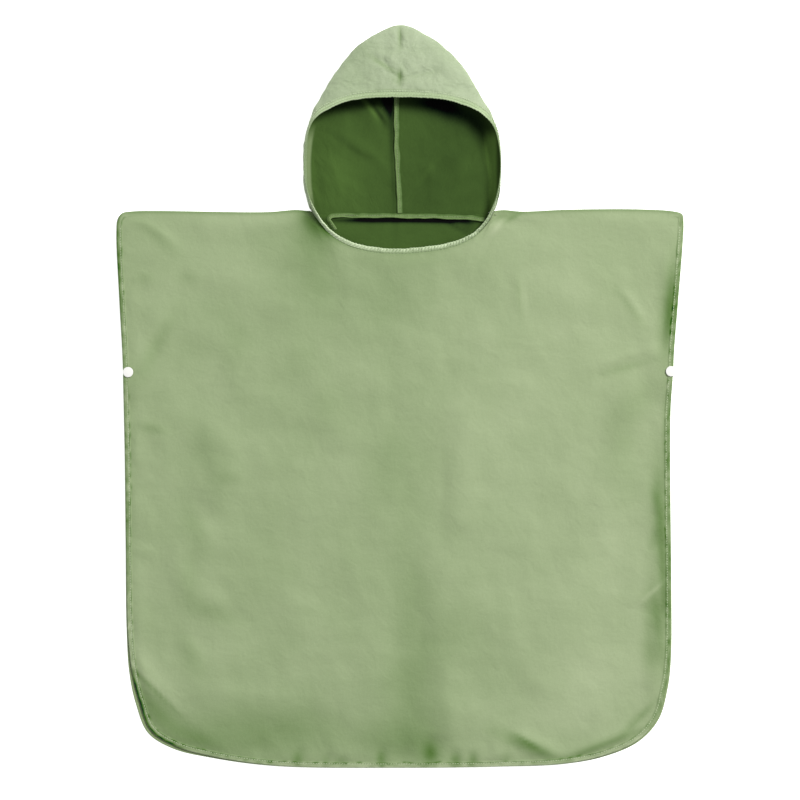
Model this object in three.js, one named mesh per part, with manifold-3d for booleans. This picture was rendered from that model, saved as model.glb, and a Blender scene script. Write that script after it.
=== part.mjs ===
// Hooded rain poncho for a small child, laid flat on its back with the face opening upwards.
// Millimetres: +X to the right seen from above, +Y from the hem towards the hood's peak, +Z up off the
// floor. Left and right in names are as seen from above.
// The back panel and the rear layer of the hood lie on z = 0. The front panel lies on the back panel.
import * as THREE from 'three';
import { mergeVertices } from 'three/addons/utils/BufferGeometryUtils.js';
import Module from 'manifold-3d';

// Cloth, seams and hems
const CLOTH = 1.2;
const SEAM_GAP = 0.3;
const NECK_SEAM_GAP = 0.65;
const HEM_WIDTH = 6;
const HEM_FALL = 1.2;
const HEM_RISE = 0.8;
const BINDING_WIDTH = 6.5;
const BINDING_THICKNESS = 2.2;
const TAPE_WIDTH = 5;
const TAPE_THICKNESS = 1.2;

// Heights off the floor
const FRONT_REST = CLOTH + SEAM_GAP;
const FRONT_HEM_LIFT = 0.9;
const NECK_SPREAD = 40;

// Press fastener: caps, socket and stud of one size, 12.4 mm across the caps
const SNAP = {
  capRadius: 6.2,
  capThickness: 1.0,
  capCrown: 0.4,
  pinRadius: 1.2,
  holeRadius: 1.6,
  studRadius: 5.0,
  studThickness: 0.8,
  knobRadius: 2.2,
  knobHeight: 1.5,
  socketRadius: 5.2,
  socketBore: 2.5,
  socketThickness: 1.9,
  pinShortfall: 0.4,
  flatRadius: 13,
  seat: 0.45,
  sides: 18,
};
const DRILL = { length: 30, sides: 12 };
const SNAP_PLACES = [
  { name: 'left', x: -326.6, y: 28.5 },
  { name: 'right', x: 325.6, y: 29.5 },
];
const SNAP_BACK_SPREAD = 26;
const SNAP_FRONT_SPREAD = 46;

// Rings of points in a panel: distances in from the edge, then shares of the way to the middle
const EDGE_RINGS = [0, HEM_WIDTH, HEM_WIDTH + HEM_FALL, 18, 32];
const FRONT_SHARES = [0.22, 0.42, 0.62, 0.82];
const BACK_SHARES = [0.5];
const PANEL_MIDDLE = new THREE.Vector2(0, -110);

// Edge of the body from the left neck point down the left side, along the bottom and up to the right
// neck point. front is how far the front panel's edge lies inside the back panel's.
const BODY_EDGE = table(['x', 'y', 'front', 'hem', 'steps'], [
  [-112, 222.2, 0, 0, 1],
  [-124, 223.6, 0, 0, 1],
  [-160, 221.0, 0, 0, 3],
  [-322, 221.8, 0, 0, 1],
  [-334, 219.6, 0.4, 0.6, 1],
  [-339.4, 212.5, 0.6, 1, 1],
  [-341, 196, 0.6, 1, 3],
  [-337.4, 114, 0.6, 1, 2],
  [-333.8, 50, 0.6, 1, 1],
  [-333, 28, 0.4, 1, 1],
  [-332.6, 6, 0.6, 1, 2],
  [-331, -70, 0.8, 1, 3],
  [-329.8, -180, 0.8, 1, 3],
  [-328.6, -280, 1.5, 1, 2],
  [-325.4, -332, 3.5, 1, 2],
  [-317.5, -370, 5, 1, 2],
  [-303, -405, 5, 1, 2],
  [-274, -425, 4, 1, 2],
  [-226, -437, 2, 1, 2],
  [-150, -445, 0.8, 1, 3],
  [0, -447.2, 0.4, 1, 3],
  [118, -445.8, 0.4, 1, 2],
  [196, -442.6, 0.8, 1, 2],
  [246, -433.4, 1.5, 1, 2],
  [287, -415.5, 2, 1, 2],
  [311, -389, 2.5, 1, 2],
  [321.5, -354, 2.5, 1, 2],
  [325.8, -318, 1.5, 1, 2],
  [326.4, -225, 0.8, 1, 3],
  [325.2, -110, 0.8, 1, 3],
  [325.4, -20, 0.6, 1, 1],
  [327, 8, 0.4, 1, 1],
  [328.6, 29, 0.4, 1, 1],
  [329.6, 52, 0.4, 1, 2],
  [334.4, 112, 0.6, 1, 2],
  [340.2, 186, 0.6, 1, 1],
  [341, 207, 0.5, 1, 1],
  [339.4, 218.4, 0.3, 0.6, 1],
  [330, 221.6, 0, 0, 1],
  [290, 224.2, 0, 0, 2],
  [200, 223.8, 0, 0, 2],
  [146, 221.6, 0, 0, 1],
  [126, 223.4, 0, 0, 1],
  [118, 223.0, 0, 0, 0],
]);

// Back neck seam from right to left: the top edge of the back panel between the shoulders
const BACK_NECK = table(['x', 'y'], [
  [118, 223.0],
  [110, 221.6],
  [104.6, 219.0],
  [75, 217.8],
  [0, 217.8],
  [-72, 217.8],
  [-99.6, 219.0],
  [-105, 221.6],
  [-112, 222.2],
]);

// Free edge of the opening. lean is the slope of the cloth away from that edge, in degrees below level.
const NECKLINE = table(['x', 'y', 'z', 'lean'], [
  [-84.6, 200.4, 9.0, 50],
  [-68, 189.2, 7.4, 32],
  [-45, 181.2, 6.4, 22],
  [-21, 177.5, 6.0, 18],
  [3, 176.8, 6.0, 18],
  [30, 179.2, 6.1, 18],
  [53, 182.6, 6.5, 22],
  [74, 188.6, 7.4, 32],
  [89.4, 196.4, 9.0, 48],
]);

// Sections of one hood half from the front of the neck up to the forehead. rim is the free edge,
// fold the place where the cloth turns under, turn the width of that turn, end the seam at which the
// section ends, up and flare the stiffness of the curve at the fold and at the rim.
const HOOD_COLUMNS = ['rimX', 'rimY', 'rimZ', 'lean', 'foldX', 'foldY', 'foldZ', 'turn',
  'endX', 'endY', 'endZ', 'up', 'flare'];
const HOOD_LEFT = table(HOOD_COLUMNS, [
  [-88.2, 204.2, 10.0, 54, -90.9, 201.7, 4.4, 0, -90.9, 201.7, 4.4, 0, 0],
  [-93.6, 210.2, 12.0, 62, -96.6, 208.4, 4.2, 0, -96.6, 208.4, 4.2, 0, 0.4],
  [-99.6, 218.8, 14.4, 68, -102.6, 216.2, 4.0, 0, -102.6, 216.2, 4.0, 0.4, 1],
  [-104.2, 227.2, 16.4, 72, -106.6, 222.6, 3.9, 1.2, -105.0, 222.6, 2.1, 1, 1.5],
  [-108.6, 236.6, 18.8, 84, -111.2, 231.6, 6.0, 5, -99.5, 219.4, 0, 2, 2],
  [-112.6, 250.0, 21.6, 98, -115.0, 247.0, 9.5, 10, -72, 218.1, 0, 3, 2],
  [-115.2, 272.0, 25.0, 112, -116.6, 271.0, 13.0, 13, -36, 218.1, 0, 3, 2],
  [-114.4, 295.0, 27.0, 110, -116.0, 295.0, 14.0, 13, -2.8, 218.1, 0, 3, 3],
  [-110.6, 317.0, 28.0, 92, -113.4, 313.5, 14.0, 12, -5.2, 262, 0, 4, 5],
  [-104.6, 329.8, 28.0, 66, -109.4, 329.0, 13.0, 11, -6.6, 298, 0, 5, 8],
  [-95.4, 338.6, 27.5, 40, -103.4, 344.0, 11.5, 10, -7.2, 328, 0, 6, 13],
  [-81.8, 346.0, 27.0, 28, -92.6, 363.6, 9.5, 8.5, -6.8, 356, 0, 7, 20],
  [-62.4, 353.2, 26.5, 19, -76.0, 391.0, 7.2, 7, -5.2, 386, 0, 8, 28],
  [-40.4, 357.0, 26.0, 13, -51.6, 419.4, 5.2, 5.5, -3.2, 412, 0, 9, 34],
  [-19.4, 358.0, 25.6, 10, -24.6, 437.4, 4.0, 4.5, -1.4, 430, 0, 10, 38],
  [0, 358.2, 25.4, 9, 0, 445.8, 3.2, 4, 0, 441.8, 0, 11, 40],
]);
const HOOD_RIGHT = table(HOOD_COLUMNS, [
  [92.6, 199.4, 10.0, 54, 95.4, 196.9, 4.4, 0, 95.4, 196.9, 4.4, 0, 0],
  [98.8, 205.4, 12.0, 62, 101.8, 203.6, 4.2, 0, 101.8, 203.6, 4.2, 0, 0.4],
  [105.4, 214.4, 14.4, 68, 108.4, 212.6, 4.0, 0, 108.4, 212.6, 4.0, 0.4, 1],
  [110.6, 224.8, 16.6, 72, 113.0, 222.2, 3.9, 1.2, 111.4, 223.2, 2.1, 1, 1.5],
  [114.8, 236.6, 19.2, 77, 116.8, 231.6, 6.0, 5, 104.5, 219.4, 0, 2, 2],
  [118.2, 250.0, 22.0, 82, 120.2, 247.0, 9.5, 10, 75, 218.1, 0, 3, 2],
  [120.8, 272.0, 25.0, 86, 122.0, 271.0, 13.0, 13, 35, 218.1, 0, 3, 2],
  [119.8, 295.0, 27.0, 84, 121.2, 295.0, 14.0, 13, -2.8, 218.1, 0, 3, 3],
  [115.4, 316.0, 28.0, 72, 118.0, 313.0, 14.0, 12, -5.2, 262, 0, 4, 5],
  [109.0, 328.2, 28.0, 57, 113.4, 328.0, 13.0, 11, -6.6, 298, 0, 5, 8],
  [99.8, 337.2, 27.5, 40, 107.0, 342.6, 11.5, 10, -7.2, 328, 0, 6, 13],
  [86.4, 345.2, 27.0, 28, 95.8, 362.6, 9.5, 8.5, -6.8, 356, 0, 7, 20],
  [67.0, 352.2, 26.5, 19, 79.4, 390.4, 7.2, 7, -5.2, 386, 0, 8, 28],
  [44.0, 356.4, 26.0, 13, 53.6, 418.8, 5.2, 5.5, -3.2, 412, 0, 9, 34],
  [21.6, 357.8, 25.6, 10, 26.0, 437.0, 4.0, 4.5, -1.4, 430, 0, 10, 38],
  [0, 358.2, 25.4, 9, 0, 445.8, 3.2, 4, 0, 441.8, 0, 11, 40],
]);
const HOOD_STEPS_PER_SECTION = 2;
const HOOD_UPPER_SHARES = [0, 0.25, 0.5, 0.72, 0.88, 1];
const HOOD_TURN_STEPS = 4;
const HOOD_FLOOR_STEPS = 3;
const HOOD_CORNER_EASE = 0.6;

// Soft folds that stand out on the front panel
const FOLDS = table(['x', 'y', 'angle', 'length', 'width', 'height'], [
  [78, -80, 84, 210, 46, 2.6],
  [-40, -330, 82, 190, 44, 2.2],
  [62, -350, 98, 200, 46, 2.4],
  [-150, 60, 64, 170, 58, 2.0],
  [-215, -110, 100, 190, 46, 1.8],
  [190, -260, 70, 200, 60, 2.2],
  [215, 95, 112, 180, 56, 1.8],
  [-235, -330, 40, 150, 44, 1.8],
  [-70, -60, 110, 180, 50, 1.6],
  [175, -420, 60, 70, 30, 1.4],
  [262, -70, 84, 170, 36, 1.4],
  [-285, 60, 92, 150, 32, 1.2],
]);

// Bound seam allowances that show inside, as the middle line of each
const NECK_TAPE = table(['x', 'y'], [
  [-77.5, 199.5],
  [-82.0, 206.0],
  [-85.6, 212.2],
  [-82, 216.2],
  [-50, 216.8],
  [0, 216.4],
  [50, 215.4],
  [84, 214.2],
  [102, 212.0],
]);
const HOOD_TAPE = table(['x', 'y'], [
  [-2.8, 219.8],
  [-5.2, 262],
  [-6.6, 298],
  [-7.2, 328],
  [-6.8, 356],
  [-5.2, 386],
  [-3.2, 412],
  [-1.8, 426],
]);

const FINISH = {
  cloth: { color: 0xa6bb8e, roughness: 0.72, metalness: 0 },
  binding: { color: 0xb9cca0, roughness: 0.7, metalness: 0 },
  tape: { color: 0x86a468, roughness: 0.75, metalness: 0 },
  snap: { color: 0xf6f6f1, roughness: 0.35, metalness: 0 },
};

const wasm = await Module();
wasm.setup();

// Rows of numbers become objects with named columns
function table(columns, rows) {
  return rows.map((row) => Object.fromEntries(columns.map((column, i) => [column, row[i]])));
}

function smoothstep(from, to, value) {
  const t = THREE.MathUtils.clamp((value - from) / (to - from), 0, 1);
  return t * t * (3 - 2 * t);
}

// Smooth curve through table rows, read at a row number that may have a fraction
function rowCurve(rows, keys, closed = false) {
  const points = rows.map((row) => new THREE.Vector3(row[keys[0]], row[keys[1]], keys[2] ? row[keys[2]] : 0));
  const curve = new THREE.CatmullRomCurve3(points, closed, 'centripetal');
  const spans = closed ? rows.length : rows.length - 1;
  return (at) => curve.getPoint(at / spans);
}

function rowValue(rows, key, at) {
  const i = Math.min(Math.floor(at), rows.length - 2);
  return THREE.MathUtils.lerp(rows[i][key], rows[i + 1][key], at - i);
}

// Points along a table, each row divided into its own number of steps
function alongTable(rows, keys, visit) {
  const curve = rowCurve(rows, keys);
  const found = [];
  rows.forEach((row, i) => {
    const steps = row.steps ?? 1;
    for (let k = 0; k < steps && i < rows.length - 1; k += 1) {
      found.push(visit(curve(i + k / steps), i + k / steps));
    }
  });
  found.push(visit(curve(rows.length - 1), rows.length - 1));
  return found;
}

// Closed curve of the opening's free edge: front of the neck, right side, forehead, left side
const rimRow = (row) => ({ x: row.rimX, y: row.rimY, z: row.rimZ, lean: row.lean });
const RIM = [
  ...NECKLINE,
  ...HOOD_RIGHT.map(rimRow),
  ...HOOD_LEFT.slice(0, -1).reverse().map(rimRow),
];
const RIM_FOREHEAD = NECKLINE.length + HOOD_RIGHT.length - 1;
const RIM_CURVE = rowCurve(RIM, ['x', 'y', 'z'], true);

// Edge point, direction into the cloth and upward side of the cloth at a place on the opening's edge
function rimFrame(at) {
  const turn = RIM.length;
  const here = ((at % turn) + turn) % turn;
  const edge = RIM_CURVE(here);
  const ahead = RIM_CURVE((here + 0.02) % turn);
  const behind = RIM_CURVE((here - 0.02 + turn) % turn);
  const along = ahead.sub(behind).normalize();
  const outward = new THREE.Vector3(along.y, -along.x, 0).normalize();
  const i = Math.floor(here);
  const lean = THREE.MathUtils.lerp(RIM[i].lean, RIM[(i + 1) % turn].lean, here - i);
  const slope = THREE.MathUtils.degToRad(lean);
  const into = outward.clone().multiplyScalar(Math.cos(slope));
  into.z = -Math.sin(slope);
  const face = new THREE.Vector3().crossVectors(into, along).normalize();
  return { edge, into, face, outward };
}

// Where a row of a hood half lies on the opening's edge
const rimPlace = {
  right: (at) => NECKLINE.length + at,
  left: (at) => RIM_FOREHEAD + (HOOD_LEFT.length - 1 - at),
};

// Closed solid from indexed points, with coincident points joined and empty triangles left out
function solidGeometry(points, triangles) {
  const raw = new THREE.BufferGeometry();
  raw.setAttribute('position', new THREE.Float32BufferAttribute(points.flatMap((p) => [p.x, p.y, p.z]), 3));
  raw.setIndex(triangles.flat());
  const merged = mergeVertices(raw, 1e-3);
  const index = merged.getIndex().array;
  const kept = [];
  for (let i = 0; i < index.length; i += 3) {
    const [a, b, c] = [index[i], index[i + 1], index[i + 2]];
    if (a !== b && b !== c && c !== a) kept.push(a, b, c);
  }
  merged.setIndex(signedVolume(merged, kept) < 0 ? flipped(kept) : kept);
  merged.computeVertexNormals();
  return merged;
}

function signedVolume(geometry, index) {
  const position = geometry.getAttribute('position');
  const [a, b, c] = [new THREE.Vector3(), new THREE.Vector3(), new THREE.Vector3()];
  let sum = 0;
  for (let i = 0; i < index.length; i += 3) {
    a.fromBufferAttribute(position, index[i]);
    b.fromBufferAttribute(position, index[i + 1]);
    c.fromBufferAttribute(position, index[i + 2]);
    sum += a.dot(b.cross(c)) / 6;
  }
  return sum;
}

function flipped(index) {
  const turned = [];
  for (let i = 0; i < index.length; i += 3) turned.push(index[i], index[i + 2], index[i + 1]);
  return turned;
}

// Two triangles of a four-sided cell
function cell(a, b, c, d) {
  return [[a, b, c], [a, c, d]];
}

// Wall of cloth from a grid of outer points and the grid of inner points behind them
function sheetGeometry(outer, inner) {
  const rows = outer.length;
  const columns = outer[0].length;
  const points = [...outer.flat(), ...inner.flat()];
  const out = (i, j) => i * columns + j;
  const back = (i, j) => rows * columns + i * columns + j;
  const triangles = [];
  for (let i = 0; i < rows - 1; i += 1) {
    for (let j = 0; j < columns - 1; j += 1) {
      triangles.push(...cell(out(i, j), out(i, j + 1), out(i + 1, j + 1), out(i + 1, j)));
      triangles.push(...cell(back(i, j), back(i + 1, j), back(i + 1, j + 1), back(i, j + 1)));
    }
    triangles.push(...cell(out(i, 0), out(i + 1, 0), back(i + 1, 0), back(i, 0)));
    const last = columns - 1;
    triangles.push(...cell(out(i, last), back(i, last), back(i + 1, last), out(i + 1, last)));
  }
  for (let j = 0; j < columns - 1; j += 1) {
    triangles.push(...cell(out(0, j), back(0, j), back(0, j + 1), out(0, j + 1)));
    const last = rows - 1;
    triangles.push(...cell(out(last, j), out(last, j + 1), back(last, j + 1), back(last, j)));
  }
  return solidGeometry(points, triangles);
}

// Ring of like sections, closed on itself
function ringGeometry(sections) {
  const sides = sections[0].length;
  const triangles = [];
  sections.forEach((_, i) => {
    const next = (i + 1) % sections.length;
    for (let j = 0; j < sides; j += 1) {
      const k = (j + 1) % sides;
      triangles.push(...cell(i * sides + j, next * sides + j, next * sides + k, i * sides + k));
    }
  });
  return solidGeometry(sections.flat(), triangles);
}

// Panel of cloth: rings of points from its edge to its middle, with a top and an underside
function panelGeometry(edge, shares, heightsAt) {
  const count = edge.length;
  const rings = [];
  edge.forEach((place, s) => {
    const before = edge[(s + count - 1) % count].point;
    const after = edge[(s + 1) % count].point;
    const inward = new THREE.Vector2(before.y - after.y, after.x - before.x).normalize();
    const spoke = PANEL_MIDDLE.clone().sub(place.point);
    const reach = spoke.length();
    spoke.normalize();
    const slant = Math.max(0.7, spoke.dot(inward));
    const last = EDGE_RINGS[EDGE_RINGS.length - 1] / slant;
    const distances = EDGE_RINGS.map((d) => d / slant);
    distances.push(...shares.map((share) => last + share * (reach - last)));
    rings.push(distances.map((d, r) => {
      const at = place.point.clone().addScaledVector(spoke, d);
      return { x: at.x, y: at.y, ...heightsAt(at, place, r, EDGE_RINGS[r] ?? d) };
    }));
  });
  const ringCount = rings[0].length;
  const middle = { x: PANEL_MIDDLE.x, y: PANEL_MIDDLE.y, ...heightsAt(PANEL_MIDDLE, {}, ringCount, Infinity) };
  const flat = rings.flat();
  const points = [
    ...flat.map((p) => ({ x: p.x, y: p.y, z: p.top })),
    ...flat.map((p) => ({ x: p.x, y: p.y, z: p.low })),
    { x: middle.x, y: middle.y, z: middle.top },
    { x: middle.x, y: middle.y, z: middle.low },
  ];
  const low = flat.length;
  const at = (s, r) => (s % count) * ringCount + r;
  const triangles = [];
  for (let s = 0; s < count; s += 1) {
    for (let r = 0; r < ringCount - 1; r += 1) {
      triangles.push(...cell(at(s, r), at(s + 1, r), at(s + 1, r + 1), at(s, r + 1)));
      triangles.push(...cell(low + at(s, r), low + at(s, r + 1), low + at(s + 1, r + 1), low + at(s + 1, r)));
    }
    const r = ringCount - 1;
    triangles.push([at(s, r), at(s + 1, r), 2 * low]);
    triangles.push([low + at(s + 1, r), low + at(s, r), 2 * low + 1]);
    triangles.push(...cell(low + at(s, 0), low + at(s + 1, 0), at(s + 1, 0), at(s, 0)));
  }
  return solidGeometry(points, triangles);
}

// Share of a fastener's raised ground at a point: 1 under the fastener, 0 beyond its spread
function snapShare(at, spread) {
  const shares = SNAP_PLACES.map((place) => {
    const distance = Math.hypot(at.x - place.x, at.y - place.y);
    return 1 - smoothstep(SNAP.flatRadius, spread, distance);
  });
  return Math.max(...shares);
}

// Height of the soft folds: each is a ridge that fades along its length and across its width
function foldHeight(at) {
  return FOLDS.reduce((sum, fold) => {
    const angle = THREE.MathUtils.degToRad(fold.angle);
    const dx = at.x - fold.x;
    const dy = at.y - fold.y;
    const along = (dx * Math.cos(angle) + dy * Math.sin(angle)) / (fold.length / 2);
    const across = (dy * Math.cos(angle) - dx * Math.sin(angle)) / (fold.width / 2);
    return sum + fold.height * Math.exp(-along * along - across * across);
  }, 0);
}

function hemRise(place, ring) {
  return ring < 2 ? HEM_RISE * (place.hem ?? 0) : 0;
}

// Heights of the fastener's layers, from the floor up
const BACK_AT_SNAP = SNAP.capThickness + SNAP.seat;
const STUD_BASE = BACK_AT_SNAP + CLOTH + HEM_RISE + SEAM_GAP;
const SOCKET_BASE = STUD_BASE + SNAP.studThickness + SEAM_GAP;
const FRONT_AT_SNAP = SOCKET_BASE + SNAP.socketThickness + SNAP.seat;
const CAP_BASE = FRONT_AT_SNAP + CLOTH + HEM_RISE + SEAM_GAP;

function backHeights(at, place, ring) {
  const low = BACK_AT_SNAP * snapShare(at, SNAP_BACK_SPREAD);
  return { low, top: low + CLOTH + hemRise(place, ring) };
}

function frontHeights(at, place, ring, distance) {
  const hem = place.hem ?? 0;
  const hemLift = FRONT_HEM_LIFT * hem * (1 - smoothstep(8, 32, distance));
  const fold = foldHeight(at) * smoothstep(6, 50, distance);
  const neck = (place.neck ?? 0) * Math.exp(-distance / NECK_SPREAD);
  const still = FRONT_REST + hemLift + fold + neck;
  const share = snapShare(at, SNAP_FRONT_SPREAD);
  const low = THREE.MathUtils.lerp(still, FRONT_AT_SNAP, share);
  return { low, top: low + CLOTH + hemRise(place, ring) };
}

// Back panel: the body's edge closed by the back neck seam
function backEdge() {
  const sides = alongTable(BODY_EDGE, ['x', 'y'], (p, at) => ({
    point: new THREE.Vector2(p.x, p.y),
    hem: rowValue(BODY_EDGE, 'hem', at),
  }));
  const neck = BACK_NECK.slice(1, -1).map((row) => ({ point: new THREE.Vector2(row.x, row.y), hem: 0 }));
  return [...sides, ...neck];
}

// Edge of the front panel at the neck, from the right neck point down the seam with the hood, along
// the binding and up the other side, with the height that the cloth has there
function frontNeck() {
  const place = (p, outward) => ({
    point: new THREE.Vector2(p.x, p.y).addScaledVector(outward, NECK_SEAM_GAP),
    hem: 0,
    neck: p.z - CLOTH - FRONT_REST,
  });
  const seamSide = (rows, name) => {
    const curve = rowCurve(rows, ['foldX', 'foldY', 'foldZ']);
    const stops = [3, 2.5, 2, 1.5, 1, 0.5, 0];
    return stops.map((at) => place(curve(at), rimFrame(rimPlace[name](at)).outward));
  };
  const right = seamSide(HOOD_RIGHT, 'right');
  const left = seamSide(HOOD_LEFT, 'left').reverse();
  const bound = [];
  for (let at = NECKLINE.length - 1; at >= 0; at -= 0.5) {
    const { edge, into, outward } = rimFrame(at);
    bound.push(place(edge.clone().addScaledVector(into, BINDING_WIDTH), outward));
  }
  return [...right, ...bound, ...left];
}

function frontEdge() {
  const sides = alongTable(BODY_EDGE, ['x', 'y'], (p, at) => ({
    point: new THREE.Vector2(p.x, p.y),
    hem: rowValue(BODY_EDGE, 'hem', at),
    inset: rowValue(BODY_EDGE, 'front', at),
    neck: 0,
  }));
  sides.forEach((place, s) => {
    const before = sides[Math.max(0, s - 1)].point;
    const after = sides[Math.min(sides.length - 1, s + 1)].point;
    place.inward = new THREE.Vector2(before.y - after.y, after.x - before.x).normalize();
  });
  sides.forEach((place) => place.point.addScaledVector(place.inward, place.inset));
  return [...sides, ...frontNeck()];
}

// One row of points over a hood half: from the binding to the fold, round the turn, along the floor
function hoodRow(rows, name, at) {
  const { edge, into } = rimFrame(rimPlace[name](at));
  const corner = HOOD_CORNER_EASE * (1 - smoothstep(0, 3, at));
  const start = edge.clone().addScaledVector(into, BINDING_WIDTH + SEAM_GAP + corner);
  const foldCurve = rowCurve(rows, ['foldX', 'foldY', 'foldZ']);
  const fold = foldCurve(at);
  const end = new THREE.Vector3(rowValue(rows, 'endX', at), rowValue(rows, 'endY', at), rowValue(rows, 'endZ', at));
  const last = rows.length - 1;
  const along = foldCurve(Math.min(at + 0.1, last)).sub(foldCurve(Math.max(at - 0.1, 0)));
  const side = name === 'right' ? 1 : -1;
  const outward = at === last
    ? new THREE.Vector3(0, 1, 0)
    : new THREE.Vector3(side * along.y, -side * along.x, 0).normalize();
  const upper = new THREE.CubicBezierCurve3(
    start,
    start.clone().addScaledVector(into, rowValue(rows, 'flare', at)),
    fold.clone().setZ(fold.z + rowValue(rows, 'up', at)),
    fold,
  );
  const turn = rowValue(rows, 'turn', at);
  const under = fold.clone().addScaledVector(outward, -turn).setZ(end.z);
  const points = HOOD_UPPER_SHARES.map((share) => upper.getPoint(share));
  for (let k = 1; k <= HOOD_TURN_STEPS; k += 1) {
    const angle = (k / HOOD_TURN_STEPS) * (Math.PI / 2);
    const point = fold.clone().addScaledVector(outward, turn * (Math.cos(angle) - 1));
    point.z = THREE.MathUtils.lerp(fold.z, end.z, Math.sin(angle));
    points.push(point);
  }
  for (let k = 1; k <= HOOD_FLOOR_STEPS; k += 1) {
    points.push(under.clone().lerp(end, k / HOOD_FLOOR_STEPS));
  }
  return points;
}

// Points of a grid moved by a distance along the grid's own normals, which point out of the hood
function insideOf(grid, distance) {
  const keys = new Map();
  const keyOf = (p) => `${Math.round(p.x * 1e3)},${Math.round(p.y * 1e3)},${Math.round(p.z * 1e3)}`;
  const add = (p, normal) => {
    const key = keyOf(p);
    if (!keys.has(key)) keys.set(key, new THREE.Vector3());
    keys.get(key).add(normal);
  };
  for (let i = 0; i < grid.length - 1; i += 1) {
    for (let j = 0; j < grid[0].length - 1; j += 1) {
      const corners = [grid[i][j], grid[i][j + 1], grid[i + 1][j + 1], grid[i + 1][j]];
      const normal = corners[2].clone().sub(corners[0]).cross(corners[3].clone().sub(corners[1]));
      corners.forEach((p) => add(p, normal));
    }
  }
  const floor = grid[Math.floor(grid.length / 2)][grid[0].length - 2];
  const sense = keys.get(keyOf(floor)).z < 0 ? 1 : -1;
  return grid.map((row) => row.map((p) => {
    const normal = keys.get(keyOf(p)).clone().normalize().multiplyScalar(sense);
    return p.clone().addScaledVector(normal, -distance);
  }));
}

// Hood half: its two edges on the middle seam keep half the seam gap from the middle
function hoodGeometry(rows, name) {
  const side = name === 'right' ? 1 : -1;
  const sections = (rows.length - 1) * HOOD_STEPS_PER_SECTION;
  const grid = [];
  for (let i = 0; i <= sections; i += 1) grid.push(hoodRow(rows, name, i / HOOD_STEPS_PER_SECTION));
  const half = side * (SEAM_GAP / 2);
  const napeRow = rows.findIndex((row) => Math.abs(row.endX) < 10) * HOOD_STEPS_PER_SECTION;
  const lastColumn = grid[0].length - 1;
  grid[sections].forEach((p) => p.setX(half));
  for (let i = napeRow; i < sections; i += 1) grid[i][lastColumn].x += half;
  const inner = insideOf(grid, CLOTH);
  grid[sections].forEach((p, j) => inner[sections][j].setX(p.x));
  for (let i = napeRow; i <= sections; i += 1) inner[i][lastColumn].setX(grid[i][lastColumn].x);
  return sheetGeometry(grid, inner);
}

// Binding round the opening: a flat strip folded over the edge, rounded at its free side
function bindingGeometry() {
  const half = BINDING_THICKNESS / 2;
  const middle = -CLOTH / 2;
  const section = [
    [0, middle],
    [0.5, middle + 0.75 * half],
    [1.5, middle + half],
    [BINDING_WIDTH - 0.4, middle + half],
    [BINDING_WIDTH, middle + 0.6 * half],
    [BINDING_WIDTH, middle - 0.6 * half],
    [BINDING_WIDTH - 0.4, middle - half],
    [1.5, middle - half],
    [0.5, middle - 0.75 * half],
  ];
  const sections = [];
  for (let at = 0; at < RIM.length; at += 0.5) {
    const { edge, into, face } = rimFrame(at);
    sections.push(section.map(([reach, height]) => edge.clone()
      .addScaledVector(into, reach)
      .addScaledVector(face, height)));
  }
  return ringGeometry(sections);
}

// Strip of tape along a middle line, lying one seam gap over the cloth
function tapeGeometry(rows, stepsPerRow) {
  const curve = rowCurve(rows, ['x', 'y']);
  const last = rows.length - 1;
  const top = [];
  const low = [];
  for (let k = 0; k <= last * stepsPerRow; k += 1) {
    const at = k / stepsPerRow;
    const along = curve(Math.min(at + 0.05, last)).sub(curve(Math.max(at - 0.05, 0))).normalize();
    const across = new THREE.Vector3(-along.y, along.x, 0);
    const middle = curve(at).setZ(CLOTH + SEAM_GAP);
    const strip = [-0.5, 0, 0.5].map((share) => middle.clone().addScaledVector(across, share * TAPE_WIDTH));
    low.push(strip);
    top.push(strip.map((p, j) => p.clone().setZ(p.z + TAPE_THICKNESS * (j === 1 ? 1 : 0.7))));
  }
  return sheetGeometry(top, low);
}

function turned(profile) {
  const points = profile.map(([radius, height]) => new THREE.Vector2(radius, height));
  const lathe = new THREE.LatheGeometry(points, SNAP.sides);
  lathe.rotateX(Math.PI / 2);
  const position = lathe.getAttribute('position');
  const vertices = [];
  for (let i = 0; i < position.count; i += 1) vertices.push(new THREE.Vector3().fromBufferAttribute(position, i));
  const index = [...lathe.getIndex().array];
  const triangles = [];
  for (let i = 0; i < index.length; i += 3) triangles.push([index[i], index[i + 1], index[i + 2]]);
  return solidGeometry(vertices, triangles);
}

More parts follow.
